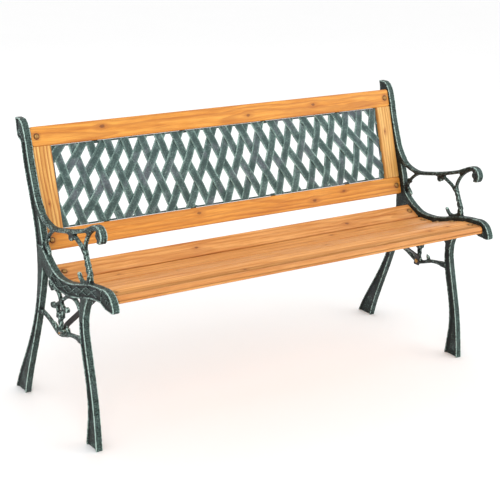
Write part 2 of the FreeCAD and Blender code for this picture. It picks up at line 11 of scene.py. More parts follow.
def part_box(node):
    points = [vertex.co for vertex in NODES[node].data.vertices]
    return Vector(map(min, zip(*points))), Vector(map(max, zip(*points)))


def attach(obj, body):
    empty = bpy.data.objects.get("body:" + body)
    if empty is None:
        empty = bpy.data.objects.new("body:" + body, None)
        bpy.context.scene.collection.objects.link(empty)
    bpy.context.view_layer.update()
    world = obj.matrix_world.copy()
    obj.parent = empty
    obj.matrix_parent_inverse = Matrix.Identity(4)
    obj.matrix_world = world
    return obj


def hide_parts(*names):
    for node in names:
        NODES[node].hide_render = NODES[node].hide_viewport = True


bl_info = {"name": "Garden Bench", "version": (1, 0, 0), "blender": (4, 5, 0),
           "location": "3D View > Sidebar > Bench",
           "description": "Cast iron garden bench with pine slats and a woven cast back panel",
           "category": "Add Mesh"}

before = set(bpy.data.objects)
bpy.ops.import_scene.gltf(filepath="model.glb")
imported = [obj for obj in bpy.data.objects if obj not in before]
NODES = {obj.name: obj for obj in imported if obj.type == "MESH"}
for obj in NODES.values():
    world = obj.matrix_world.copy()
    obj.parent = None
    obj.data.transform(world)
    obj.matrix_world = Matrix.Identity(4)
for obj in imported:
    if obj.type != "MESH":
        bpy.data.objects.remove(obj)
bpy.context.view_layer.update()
MM = 0.001
BODY = "root"


def colour(red, green, blue):
    """A colour given as it looks on a screen, 0 to 255, as linear red, green and blue."""
    linear = []
    for part in (red, green, blue):
        share = part / 255
        linear.append(share / 12.92 if share <= 0.04045 else ((share + 0.055) / 1.055) ** 2.4)
    return tuple(linear)


# ---------------------------------------------------------------------------
# Settings


def size_setting(name, description, default, low=0.0, high=2.0):
    """A length that a user can set."""
    return FloatProperty(name=name, description=description, default=default, min=low,
                         max=high, unit="LENGTH", precision=5)


def colour_setting(name, description, default):
    """A colour that a user can set."""
    return FloatVectorProperty(name=name, description=description, default=default,
                               subtype="COLOR", size=3, min=0.0, max=1.0)


class BenchCastingSettings(bpy.types.PropertyGroup):
    cell: size_setting("Cell", "Size of the casting's surface cells", 1.78 * MM)
    ripple_height: size_setting("Ripple Height", "Height of the tooled ripples on front faces",
                                0.35 * MM)
    ripple_pitch: size_setting("Ripple Pitch", "Distance between the tooled ripples", 5.2 * MM)
    groove_depth: size_setting("Groove Depth", "Depth of the channel along front faces",
                               0.9 * MM)
    recess_depth: size_setting("Recess Depth", "Depth of the recesses in rolled ends", 3 * MM)
    relief_radius: size_setting("Relief Radius", "Radius of the raised lines", 1.7 * MM)
    base: colour_setting("Base", "Dark paint in the hollows", colour(16, 22, 21))
    # The patina covers faces turned to the light more than others: painted light.
    patina: colour_setting("Patina", "Green patina on open faces", colour(72, 94, 88))
    highlight: colour_setting("Highlight", "Brushed highlight on edges", colour(178, 204, 195))


class BenchLatticeSettings(bpy.types.PropertyGroup):
    strips: IntProperty(name="Strips", description="Strips in each direction", default=26,
                        min=2, max=200)
    strip_width: size_setting("Strip Width", "Width of a strip", 22.5 * MM)
    strip_thickness: size_setting("Strip Thickness", "Thickness of a strip", 4.8 * MM)
    rim: size_setting("Rim", "Height of a strip's raised edges", 0.9 * MM)
    weave: size_setting("Weave", "How far a strip rises and dips", 1.6 * MM)
    pitch: size_setting("Pitch", "Distance between strips along a row", 55.6 * MM)
    row: size_setting("Row", "Distance between rows of crossings", 59.0 * MM)
    fan_radius: size_setting("Fan Radius", "Radius of the middle row of crossings", 1.99, 0.1, 9)
    fan_rise: size_setting("Fan Rise", "Middle row of crossings above the panel's middle",
                           18.5 * MM)
    squeeze: FloatProperty(name="Squeeze", default=1.3, min=0.0, max=5.0,
                           description="How the rows draw together towards the ends")
    border: size_setting("Border", "Width of the border", 4.5 * MM)


class BenchWoodSettings(bpy.types.PropertyGroup):
    edge_round: size_setting("Edge Round", "Radius along a board's edges", 2.4 * MM)
    front_round: size_setting("Front Round", "Radius along the seat's front edge", 11 * MM)
    end_round: size_setting("End Round", "Radius at a board's ends", 1.6 * MM)
    rail_corner: size_setting("Rail Corner", "Radius of a rail's end corners", 7 * MM)
    seat_corner: size_setting("Seat Corner", "Radius of the seat's front corners", 11 * MM)
    slat_corner: size_setting("Slat Corner", "Radius of a slat's end corners", 4 * MM)
    rail_wood: colour_setting("Rail Wood", "Early wood of the back rails",
                              colour(238, 164, 66))
    stile_wood: colour_setting("Stile Wood", "Early wood of the stiles", colour(240, 190, 106))
    seat_wood: colour_setting("Seat Wood", "Early wood of the seat", colour(234, 166, 92))
    late_wood: colour_setting("Late Wood", "Late wood, streaks and stains",
                              colour(170, 92, 30))
    knot: colour_setting("Knot", "Heart of a knot", colour(92, 46, 24))


class BenchHardwareSettings(bpy.types.PropertyGroup):
    head_width: size_setting("Head Width", "Diameter of a bolt's domed head", 13 * MM)
    head_height: size_setting("Head Height", "Height of a bolt's domed head", 3.5 * MM)
    shank_width: size_setting("Shank Width", "Diameter of a bolt's shank", 6 * MM)
    thread_length: size_setting("Thread Length", "Length of a bolt's thread", 12 * MM)
    thread_pitch: size_setting("Thread Pitch", "Pitch of a bolt's thread", 1 * MM)
    plating: colour_setting("Plating", "Yellow plating on bolts", colour(172, 130, 76))
    zinc: colour_setting("Zinc", "Zinc plating on nuts and washers", colour(190, 190, 186))
    steel: colour_setting("Painted Steel", "Dark paint on the bar and the strap",
                          colour(40, 36, 36))


class BenchStageSettings(bpy.types.PropertyGroup):
    floor: colour_setting("Floor", "Colour of the floor", (0.96, 0.96, 0.96))
    floor_reach: size_setting("Floor Reach", "Half the floor's width", 30.0, 1.0, 100.0)
    sky: FloatProperty(name="Sky", description="Strength of the even light", default=1.02,
                       min=0.0, max=10.0)
    key: FloatProperty(name="Key", description="Power of the main soft light", default=52.0,
                       min=0.0, max=5000.0, unit="POWER")


class BenchSettings(bpy.types.PropertyGroup):
    casting: PointerProperty(type=BenchCastingSettings)
    lattice: PointerProperty(type=BenchLatticeSettings)
    wood: PointerProperty(type=BenchWoodSettings)
    hardware: PointerProperty(type=BenchHardwareSettings)
    stage: PointerProperty(type=BenchStageSettings)


def settings():
    """The bench's settings."""
    return bpy.context.scene.garden_bench


# ---------------------------------------------------------------------------
# Node trees


FLOAT = "NodeSocketFloat"
VECTOR = "NodeSocketVector"
COLOUR = "NodeSocketColor"
INTEGER = "NodeSocketInt"
MATERIAL = "NodeSocketMaterial"
GEOMETRY = "NodeSocketGeometry"


class Tree:
    """Adds nodes to a tree, with their settings, values and links."""

    def __init__(self, tree):
        self.tree = tree

    def node(self, kind, values=None, **options):
        node = self.tree.nodes.new(kind)
        for key, value in options.items():
            setattr(node, key, value)
        for key, value in (values or {}).items():
            if isinstance(value, bpy.types.NodeSocket):
                self.tree.links.new(value, node.inputs[key])
            else:
                node.inputs[key].default_value = value
        return node

    def link(self, output, socket):
        self.tree.links.new(output, socket)

    def math(self, operation, *values, clamp=False):
        node = self.node("ShaderNodeMath", dict(enumerate(values)), operation=operation)
        node.use_clamp = clamp
        return node.outputs[0]

    def plus(self, *values):
        return self.math("ADD", *values)

    def minus(self, *values):
        return self.math("SUBTRACT", *values)

    def times(self, *values):
        return self.math("MULTIPLY", *values)

    def over(self, *values):
        return self.math("DIVIDE", *values)

    def stretched(self, parts, scales):
        """A vector from three values, each multiplied by its own scale."""
        return self.xyz(*[self.times(part, scale) for part, scale in zip(parts, scales)])

    def vector(self, operation, *values):
        node = self.node("ShaderNodeVectorMath", dict(enumerate(values)), operation=operation)
        return node.outputs["Value" if operation in ("LENGTH", "DOT_PRODUCT") else "Vector"]

    def xyz(self, x, y, z):
        return self.node("ShaderNodeCombineXYZ", {0: x, 1: y, 2: z}).outputs[0]

    def split(self, vector):
        return self.node("ShaderNodeSeparateXYZ", {0: vector}).outputs

    def ramp(self, value, low, high, to_low=0.0, to_high=1.0):
        node = self.node("ShaderNodeMapRange", {0: value, 1: low, 2: high, 3: to_low, 4: to_high},
                         interpolation_type="SMOOTHSTEP")
        return node.outputs[0]

    def mix(self, share, first, second, blend="MIX"):
        node = self.node("ShaderNodeMix", {0: share, 6: first, 7: second}, data_type="RGBA",
                         blend_type=blend)
        return node.outputs[2]

    def noise(self, vector, scale, detail=3.0, roughness=0.55, distortion=0.0):
        node = self.node("ShaderNodeTexNoise", {"Vector": vector, "Scale": scale,
                                                "Detail": detail, "Roughness": roughness,
                                                "Distortion": distortion})
        return node.outputs[0]


def with_alpha(rgb):
    """A colour with full cover."""
    return (*rgb, 1.0)


def shader_group(name, inputs, outputs):
    """An empty shader group with its sockets: returns its tree and its input and output nodes."""
    group = bpy.data.node_groups.new(name, "ShaderNodeTree")
    for label, kind, default in inputs:
        socket = group.interface.new_socket(name=label, in_out="INPUT", socket_type=kind)
        if default is not None:
            socket.default_value = default
    for label, kind in outputs:
        group.interface.new_socket(name=label, in_out="OUTPUT", socket_type=kind)
    tree = Tree(group)
    return tree, tree.node("NodeGroupInput").outputs, tree.node("NodeGroupOutput").inputs


def grain_group():
    """Growth rings and fibres of a board cut lengthwise, bent round up to three knots."""
    inputs = [("Grain", VECTOR, None), ("Ring Spacing", FLOAT, 0.007),
              ("Heart Depth", FLOAT, 0.03), ("Heart Side", FLOAT, 0.0), ("Wander", FLOAT, 0.02)]
    inputs += [("Knot %d" % i, VECTOR, (9.0, 0.0, 0.004)) for i in (1, 2, 3)]
    outputs = [("Late Wood", FLOAT), ("Fibre", FLOAT), ("Streak", FLOAT), ("Knot", FLOAT),
               ("Knot Halo", FLOAT)]
    tree, given, result = shader_group("Wood Grain", inputs, outputs)
    along, across, deep = tree.split(given["Grain"])
    knot_mask = 0.0
    halo_mask = 0.0
    for label in ("Knot 1", "Knot 2", "Knot 3"):
        centre_x, centre_y, radius = tree.split(given[label])
        off_x = tree.times(tree.minus(along, centre_x), 0.55)
        off_y = tree.minus(across, centre_y)
        wobble = tree.noise(given["Grain"], 160.0, 1.0)
        distance = tree.vector("LENGTH", tree.xyz(off_x, off_y, 0.0))
        spread = tree.over(distance, radius)
        spread = tree.plus(spread, tree.times(wobble, 0.7))
        knot_mask = tree.math("MAXIMUM", knot_mask, tree.ramp(spread, 1.5, 0.9))
        halo = tree.ramp(spread, 4.5, 0.8)
        halo_mask = tree.math("MAXIMUM", halo_mask, halo)
        pull = tree.times(tree.times(off_y, halo), 0.75)
        across = tree.minus(across, pull)
    slow = tree.stretched((along, across, deep), (1.6, 3.0, 1.0))
    drift = tree.minus(tree.noise(slow, 1.3, 2.0), 0.5)
    drift = tree.times(drift, given["Wander"])
    side = tree.plus(tree.plus(across, given["Heart Side"]), drift)
    depth = tree.plus(tree.plus(given["Heart Depth"], deep), tree.times(drift, 1.8))
    radius = tree.vector("LENGTH", tree.xyz(side, depth, 0.0))
    ragged = tree.stretched((along, across, deep), (9.0, 90.0, 90.0))
    radius = tree.plus(tree.over(radius, given["Ring Spacing"]),
                       tree.times(tree.noise(ragged, 1.0, 2.0), 0.55))
    turn = tree.math("FRACT", radius)
    late = tree.times(tree.ramp(turn, 0.25, 0.86), tree.ramp(turn, 1.0, 0.9))
    fine = tree.stretched((along, across, deep), (22.0, 900.0, 900.0))
    long_marks = tree.stretched((along, across, deep), (4.2, 88.0, 88.0))
    tree.link(late, result["Late Wood"])
    tree.link(tree.noise(fine, 1.0, 3.0), result["Fibre"])
    tree.link(tree.noise(long_marks, 1.0, 5.0, 0.62, 0.5), result["Streak"])
    tree.link(knot_mask, result["Knot"])
    tree.link(halo_mask, result["Knot Halo"])
    return tree.tree


def patina_group():
    """Dark base, green patina on open faces and brushed highlights on worn edges. Its patina and
    wear inputs also carry painted light, lighter on faces turned to the light.
    """
    inputs = [("Vector", VECTOR, None), ("Wear And Lit Edge", FLOAT, 0.0), ("Cavity", FLOAT, 0.0),
              ("Patina And Lit Side", FLOAT, 0.5), ("Base", COLOUR, None), ("Patina", COLOUR, None),
              ("Highlight", COLOUR, None), ("Patch", COLOUR, None),
              ("Patch Amount", FLOAT, 0.3), ("Speckle", FLOAT, 1.0)]
    outputs = [("Colour", COLOUR), ("Worn And Lit", FLOAT)]
    tree, given, result = shader_group("Brushed Patina", inputs, outputs)
    cloud = tree.noise(given["Vector"], 34.0, 4.0, 0.62)
    speck = tree.minus(tree.noise(given["Vector"], 300.0, 3.0, 0.75), 0.5)
    speck = tree.times(speck, given["Speckle"])
    # Patina cover is real patina plus painted light on faces turned to the light.
    cover = tree.plus(tree.times(given["Patina And Lit Side"], 0.8), tree.minus(cloud, 0.5))
    cover = tree.plus(cover, tree.times(speck, 2.6))
    cover = tree.minus(cover, given["Cavity"])
    shown = tree.mix(tree.ramp(cover, 0.15, 0.8), given["Base"], given["Patina"])
    patch = tree.ramp(tree.noise(given["Vector"], 17.0, 3.0, 0.6), 0.5, 0.68)
    patch = tree.times(patch, given["Patch Amount"])
    shown = tree.mix(patch, shown, given["Patch"])
    # Worn edges turned to the light come in brighter: painted highlight.
    worn_and_lit = tree.plus(given["Wear And Lit Edge"], tree.times(speck, 2.2))
    worn_and_lit = tree.plus(worn_and_lit, tree.times(tree.minus(cloud, 0.5), 0.6))
    worn_and_lit = tree.ramp(worn_and_lit, 0.3, 0.95)
    shown = tree.mix(worn_and_lit, shown, given["Highlight"])
    tree.link(shown, result["Colour"])
    tree.link(worn_and_lit, result["Worn And Lit"])
    return tree.tree


def pebble_group():
    """Sand-cast skin: fine pits and soft lumps, as a height."""
    inputs = [("Vector", VECTOR, None), ("Pit Scale", FLOAT, 520.0), ("Lump Scale", FLOAT, 90.0)]
    tree, given, result = shader_group("Cast Skin", inputs, [("Height", FLOAT)])
    pits = tree.noise(given["Vector"], given["Pit Scale"], 2.0, 0.7)
    lumps = tree.noise(given["Vector"], given["Lump Scale"], 3.0, 0.6)
    height = tree.plus(tree.times(pits, 0.45), lumps)
    tree.link(height, result["Height"])
    return tree.tree


def dust_group():
    """Soft uneven grime that dulls and darkens a finish."""
    inputs = [("Vector", VECTOR, None), ("Scale", FLOAT, 30.0), ("Amount", FLOAT, 0.3)]
    tree, given, result = shader_group("Grime", inputs, [("Mask", FLOAT)])
    cloud = tree.noise(given["Vector"], given["Scale"], 5.0, 0.65)
    mask = tree.times(tree.ramp(cloud, 0.42, 0.72), given["Amount"])
    tree.link(mask, result["Mask"])
    return tree.tree


GROUPS = {}


def shared(name):
    """The shared group of that name, built the first time that it is asked for."""
    makers = {"grain": grain_group, "patina": patina_group, "pebble": pebble_group,
              "dust": dust_group, "stain_and_shadow": bolt_stain_and_shadow_group}
    if name not in GROUPS:
        GROUPS[name] = makers[name]()
    return GROUPS[name]


def blank_material(name):
    """A material with only its Principled BSDF: the material, its tree, the shader's inputs."""
    material = bpy.data.materials.new(name)
    material.use_nodes = True
    tree = Tree(material.node_tree)
    return material, tree, material.node_tree.nodes["Principled BSDF"].inputs


def finish_values(shader, **values):
    for label, value in values.items():
        shader[label.replace("_", " ")].default_value = value


def bumped(tree, shader, height, strength, distance):
    """Gives a shader fine relief from a height."""
    bump = tree.node("ShaderNodeBump", {"Height": height, "Strength": strength,
                                        "Distance": distance})
    tree.link(bump.outputs[0], shader["Normal"])


def attribute(tree, name):
    """What a mesh's own attribute gives a shader."""
    return tree.node("ShaderNodeAttribute", attribute_name=name).outputs


def cast_material(name, patch, patch_amount, patina=None, streaks=0.0, base=None,
                  speckle=1.15):
    """Painted and brushed cast iron, worn bright where the mesh's wear attribute says. That
    attribute and the patina one also hold painted light from the lit side.
    """
    look = settings().casting
    material, tree, shader = blank_material(name)
    place = tree.node("ShaderNodeTexCoord").outputs["Object"]
    group = tree.node("ShaderNodeGroup", node_tree=shared("patina"))
    tree.link(place, group.inputs["Vector"])
    for label, source in (("Wear And Lit Edge", "wear_and_lit_edge"), ("Cavity", "cavity"), ("Patina And Lit Side", "patina_and_lit_side")):
        tree.link(attribute(tree, source)["Fac"], group.inputs[label])
    if streaks:
        strip = tree.split(attribute(tree, "strip")["Vector"])
        stretched = tree.stretched(strip, (26.0, 420.0, 1.0))
        lines = tree.minus(tree.noise(stretched, 1.0, 3.0, 0.6), 0.5)
        lined = tree.plus(attribute(tree, "wear_and_lit_edge")["Fac"], tree.times(lines, streaks))
        tree.link(lined, group.inputs["Wear And Lit Edge"])
    group.inputs["Base"].default_value = with_alpha(base or look.base)
    group.inputs["Patina"].default_value = with_alpha(patina or look.patina)
    group.inputs["Highlight"].default_value = with_alpha(look.highlight)
    group.inputs["Patch"].default_value = with_alpha(patch)
    group.inputs["Patch Amount"].default_value = patch_amount
    group.inputs["Speckle"].default_value = speckle
    tree.link(group.outputs["Colour"], shader["Base Color"])
    tree.link(tree.ramp(group.outputs["Worn And Lit"], 0.0, 1.0, 0.52, 0.34), shader["Roughness"])
    tree.link(tree.ramp(group.outputs["Worn And Lit"], 0.0, 1.0, 0.15, 0.55), shader["Metallic"])
    pebble = tree.node("ShaderNodeGroup", node_tree=shared("pebble"))
    tree.link(place, pebble.inputs["Vector"])
    bumped(tree, shader, pebble.outputs[0], 0.7, 0.9 * MM)
    finish_values(shader, Specular_IOR_Level=0.28)
    return material


def bolt_stain_and_shadow_group():
    """Dark rust and grime in the wood round a board's two bolts, with a painted shadow ring just
    round each head.
    """
    inputs = [("Grain", VECTOR, None), ("Board Start", VECTOR, None),
              ("Bolt", VECTOR, (9.0, 0.0, 0.0)), ("Radius", FLOAT, 0.0085)]
    tree, given, result = shader_group("Bolt Stain And Shadow", inputs, [("Mask", FLOAT)])
    along, across, _ = tree.split(tree.vector("SUBTRACT", given["Grain"], given["Board Start"]))
    bolt_x, bolt_y, _ = tree.split(given["Bolt"])
    off_x = tree.minus(tree.math("ABSOLUTE", along), bolt_x)
    off_y = tree.minus(across, bolt_y)
    ragged = tree.times(tree.noise(given["Grain"], 220.0, 2.0), 0.25)
    distance = tree.vector("LENGTH", tree.xyz(off_x, off_y, 0.0))
    share = tree.plus(tree.over(distance, given["Radius"]), ragged)
    # Painted shadow: a dark ring just outside each bolt head; the wider halo is stain.
    ring = tree.ramp(share, 1.22, 0.98)
    halo = tree.times(tree.ramp(share, 2.1, 1.0), 0.3)
    tree.link(tree.math("MAXIMUM", ring, halo), result["Mask"])
    return tree.tree


def pine_material(name, early, spacing, contrast, heart, streaks, knots, start, bolt):
    """Varnished pine that reads its board's own grain attribute."""
    look = settings().wood
    material, tree, shader = blank_material(name)
    grain = attribute(tree, "grain")["Vector"]
    rings = tree.node("ShaderNodeGroup", node_tree=shared("grain"))
    tree.link(grain, rings.inputs["Grain"])
    rings.inputs["Ring Spacing"].default_value = spacing
    rings.inputs["Heart Side"].default_value = heart[0]
    rings.inputs["Heart Depth"].default_value = heart[1]
    for number, knot in enumerate(knots, 1):
        rings.inputs["Knot %d" % number].default_value = knot
    found = rings.outputs
    late = with_alpha(look.late_wood)
    rich = with_alpha([part * share for part, share in zip(early, (0.86, 0.76, 0.62))])
    pale = with_alpha([min(1.0, part * share) for part, share in zip(early, (1.08, 1.14, 1.25))])
    shown = tree.mix(tree.ramp(found["Streak"], 0.36, 0.62), pale, rich)
    shown = tree.mix(tree.times(found["Late Wood"], contrast), shown, late)
    stains = tree.times(tree.ramp(found["Streak"], 0.57, 0.7), streaks)
    shown = tree.mix(stains, shown, late)
    fibre = tree.ramp(found["Fibre"], 0.42, 0.66, 0.0, 0.34)
    shown = tree.mix(fibre, shown, late)
    halo = tree.times(found["Knot Halo"], 0.5)
    shown = tree.mix(halo, shown, late)
    heartwood = tree.times(found["Knot"], 0.62)
    shown = tree.mix(heartwood, shown, with_alpha(look.knot))
    dust = tree.node("ShaderNodeGroup", {"Scale": 14.0, "Amount": 0.16},
                     node_tree=shared("dust"))
    tree.link(grain, dust.inputs["Vector"])
    shown = tree.mix(dust.outputs[0], shown, rich)
    edge = tree.times(attribute(tree, "edge")["Fac"], 0.28)
    shown = tree.mix(edge, shown, late)
    # Darkens the wood round the bolts: stain, with a painted shadow ring at each head.
    if bolt:
        stain_and_shadow = tree.node("ShaderNodeGroup", {"Bolt": bolt}, node_tree=shared("stain_and_shadow"))
        stain_and_shadow.inputs["Board Start"].default_value = start
        tree.link(grain, stain_and_shadow.inputs["Grain"])
        shown = tree.mix(stain_and_shadow.outputs[0], shown, with_alpha(look.knot))
    tree.link(shown, shader["Base Color"])
    rough = tree.ramp(found["Fibre"], 0.3, 0.75, 0.36, 0.52)
    tree.link(tree.plus(rough, dust.outputs[0]), shader["Roughness"])
    finish_values(shader, Coat_Weight=0.1, Coat_Roughness=0.25, IOR=1.42)
    height = tree.plus(tree.times(found["Fibre"], 0.7), tree.times(found["Late Wood"], 0.5))
    bumped(tree, shader, height, 0.28, 0.4 * MM)
    return material


def metal_material(name, rgb, metallic, low, high, grime=0.3):
    """Plain metal or paint with fine scratches, grime and a little relief."""
    material, tree, shader = blank_material(name)
    place = tree.node("ShaderNodeTexCoord").outputs["Object"]
    dust = tree.node("ShaderNodeGroup", {"Scale": 160.0, "Amount": grime},
                     node_tree=shared("dust"))
    tree.link(place, dust.inputs["Vector"])
    dark = with_alpha([part * 0.45 for part in rgb])
    tree.link(tree.mix(dust.outputs[0], with_alpha(rgb), dark), shader["Base Color"])
    scratch = tree.noise(place, 900.0, 3.0, 0.7)
    tree.link(tree.ramp(scratch, 0.3, 0.7, low, high), shader["Roughness"])
    finish_values(shader, Metallic=metallic)
    bumped(tree, shader, scratch, 0.15, 0.2 * MM)
    return material


def dress(node, material):
    """Gives a CAD node's object one material, and leaves its mesh as it is."""
    shown = NODES[node]
    while len(shown.material_slots) < 1:
        shown.data.materials.append(None)
    for slot in shown.material_slots:
        slot.link = "OBJECT"
        slot.material = material


# ---------------------------------------------------------------------------
# Meshes


def coordinates(mesh):
    """A mesh's points as an array."""
    values = np.zeros(len(mesh.vertices) * 3)
    mesh.vertices.foreach_get("co", values)
    return values.reshape(-1, 3)


def set_coordinates(mesh, values):
    mesh.vertices.foreach_set("co", values.astype(np.float32).ravel())
    mesh.update()


def vertex_normals(mesh):
    """The directions in which a mesh's points face."""
    values = np.zeros(len(mesh.vertices) * 3)
    mesh.vertex_normals.foreach_get("vector", values)
    return values.reshape(-1, 3)


def set_attribute(mesh, name, values):
    """Stores a value or a vector at each of a mesh's points."""
    vector = values.ndim == 2
    kind = "FLOAT_VECTOR" if vector else "FLOAT"
    layer = mesh.attributes.get(name) or mesh.attributes.new(name, kind, "POINT")
    layer.data.foreach_set("vector" if vector else "value", values.astype(np.float32).ravel())


def new_piece(name, mesh, material, replaced=()):
    """Links a finished mesh as a piece that rides on the bench and takes its CAD nodes' place."""
    mesh.name = name
    mesh.materials.clear()
    mesh.materials.append(material)
    piece = bpy.data.objects.new(name, mesh)
    bpy.context.scene.collection.objects.link(piece)
    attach(piece, BODY)
    if replaced:
        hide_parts(*replaced)
    return piece


def mesh_from(points, faces):
    """A mesh from lists of points and faces."""
    mesh = bpy.data.meshes.new("piece")
    mesh.from_pydata([tuple(p) for p in points], [], [tuple(f) for f in faces])
    mesh.update()
    return mesh


def joined(parts):
    """One list of points and one of faces from several."""
    points = []
    faces = []
    for some_points, some_faces in parts:
        start = len(points)
        points.extend(some_points)
        faces.extend([tuple(i + start for i in face) for face in some_faces])
    return points, faces


def turn_outward(shape):
    """Turns the faces of every closed part of a working mesh outwards."""
    bmesh.ops.recalc_face_normals(shape, faces=shape.faces)
    seen = set()
    wrong = []
    for start in shape.faces:
        if start in seen:
            continue
        seen.add(start)
        stack = [start]
        part = []
        while stack:
            face = stack.pop()
            part.append(face)
            for edge in face.edges:
                for other in edge.link_faces:
                    if other not in seen:
                        seen.add(other)
                        stack.append(other)
        middle = part[0].verts[0].co.copy()
        volume = 0.0
        for face in part:
            corners = [vertex.co - middle for vertex in face.verts]
            for k in range(1, len(corners) - 1):
                volume += corners[0].dot(corners[k].cross(corners[k + 1]))
        if volume < 0:
            wrong += part
    bmesh.ops.reverse_faces(shape, faces=wrong)


def outward(mesh):
    """Turns every face outwards."""
    shape = bmesh.new()
    shape.from_mesh(mesh)
    turn_outward(shape)
    shape.to_mesh(mesh)
    shape.free()
    mesh.update()


def merged_copy(node):
    """A copy of a CAD node's mesh with its loose triangles joined."""
    mesh = NODES[node].data.copy()
    shape = bmesh.new()
    shape.from_mesh(mesh)
    bmesh.ops.remove_doubles(shape, verts=shape.verts, dist=0.00001)
    shape.to_mesh(mesh)
    shape.free()
    return mesh


def islands(node):
    """The separate solids of a CAD node, each as an array of its points."""
    shape = bmesh.new()
    shape.from_mesh(NODES[node].data)
    bmesh.ops.remove_doubles(shape, verts=shape.verts, dist=0.00001)
    shape.verts.ensure_lookup_table()
    seen = set()
    found = []
    for start in shape.verts:
        if start.index in seen:
            continue
        seen.add(start.index)
        stack = [start]
        points = []
        while stack:
            vertex = stack.pop()
            points.append(tuple(vertex.co))
            for edge in vertex.link_edges:
                other = edge.other_vert(vertex)
                if other.index not in seen:
                    seen.add(other.index)
                    stack.append(other)
        found.append(np.array(points))
    shape.free()
    return found


def evaluated_mesh(piece):
    """The mesh that a working object's modifiers make, with the object removed."""
    graph = bpy.context.evaluated_depsgraph_get()
    mesh = bpy.data.meshes.new_from_object(piece.evaluated_get(graph))
    bpy.data.objects.remove(piece)
    return mesh


def merged(meshes):
    """One mesh from several, each with its own attributes."""
    shape = bmesh.new()
    for part in meshes:
        shape.from_mesh(part)
    whole = bpy.data.meshes.new("merged")
    shape.to_mesh(whole)
    shape.free()
    return whole


def remeshed(mesh, cell):
    """A mesh made again from even cells, so that overlapping parts become one skin."""
    piece = work_object(mesh)
    modifier = piece.modifiers.new("Cells", "REMESH")
    modifier.mode = "VOXEL"
    modifier.voxel_size = cell
    modifier.adaptivity = 0.0
    return evaluated_mesh(piece)


def work_object(mesh):
    """An object that only holds a mesh while it is worked on."""
    piece = bpy.data.objects.new("work", mesh)
    bpy.context.scene.collection.objects.link(piece)
    return piece


def curve_points(points, step):
    """Points a step apart on a smooth curve through the given ones, of any dimension."""
    given = np.array(points, float)
    ends = [2 * given[0] - given[1], *given, 2 * given[-1] - given[-2]]
    ends = np.array(ends)
    dense = []
    for i in range(1, len(ends) - 2):
        a, b, c, d = ends[i - 1:i + 3]
        for t in np.linspace(0, 1, 24, endpoint=False):
            dense.append(0.5 * (2 * b + (c - a) * t + (2 * a - 5 * b + 4 * c - d) * t * t
                                + (3 * b - a - 3 * c + d) * t ** 3))
    dense.append(given[-1])
    dense = np.array(dense)
    lengths = np.concatenate([[0], np.cumsum(np.linalg.norm(np.diff(dense[:, :2], axis=0),
                                                            axis=1))])
    count = max(2, int(round(lengths[-1] / step)) + 1)
    wanted = np.linspace(0, lengths[-1], count)
    return np.column_stack([np.interp(wanted, lengths, column) for column in dense.T])


def ring_faces(rings, sides):
    """The faces that join rings of points into a closed skin with two flat ends."""
    faces = []
    for i in range(rings - 1):
        for k in range(sides):
            after = (k + 1) % sides
            faces.append((i * sides + k, i * sides + after, (i + 1) * sides + after,
                          (i + 1) * sides + k))
    last = (rings - 1) * sides
    faces.append(tuple(range(sides))[::-1])
    faces.append(tuple(range(last, last + sides)))
    return faces


def tube(centres, radii, sides=10, flatten=1.0, flat_axis=Vector((1, 0, 0))):
    """A closed tube along points in space, with rounded tips: its points and faces."""
    centres = [Vector(c) for c in centres]
    if not hasattr(radii, "__len__"):
        radii = [radii] * len(centres)
    rings = []
    first_way = (centres[1] - centres[0]).normalized()
    last_way = (centres[-1] - centres[-2]).normalized()
    stations = [(centres[0] - first_way * radii[0] * 0.8, radii[0] * 0.5)]
    stations += list(zip(centres, radii))
    stations.append((centres[-1] + last_way * radii[-1] * 0.8, radii[-1] * 0.5))
    middles = [place for place, radius in stations]
    for i, (place, radius) in enumerate(stations):
        way = (middles[min(i + 1, len(middles) - 1)] - middles[max(i - 1, 0)]).normalized()
        side = flat_axis - way * flat_axis.dot(way)
        side = side.normalized() if side.length > 0.01 else way.orthogonal().normalized()
        up = way.cross(side)
        ring = []
        for k in range(sides):
            turn = 2 * math.pi * k / sides
            ring.append(place + side * radius * flatten * math.cos(turn)
                        + up * radius * math.sin(turn))
        rings.append(ring)
    points = [point for ring in rings for point in ring]
    return points, ring_faces(len(rings), sides)


# ---------------------------------------------------------------------------
# Boards


def board_place(node):
    """A board's own axes: X along it, Z out of its wide show face, origin at its middle.
    Returns the matrix and half its length, width and thickness."""
    mesh = NODES[node].data
    best = Vector((0, 0, 0))
    sums = {}
    for face in mesh.polygons:
        key = tuple(round(part, 2) for part in face.normal)
        sums.setdefault(key, Vector((0, 0, 0)))
        sums[key] += face.normal * face.area
    for total in sums.values():
        shows = total.z > 0.3 * total.length or total.y < -0.5 * total.length
        if abs(total.x) < 0.1 * total.length and shows and total.length > best.length:
            best = total
    out = best.normalized()
    along = Vector((1, 0, 0))
    across = out.cross(along).normalized()
    points = coordinates(mesh)
    spans = []
    for axis in (along, across, out):
        reach = points @ np.array(axis)
        spans.append((reach.min(), reach.max()))
    middle = sum((axis * (low + high) / 2
                  for axis, (low, high) in zip((along, across, out), spans)), Vector())
    half = [(high - low) / 2 for low, high in spans]
    turn = Matrix((along, across, out)).transposed().to_4x4()
    return Matrix.Translation(middle) @ turn, half


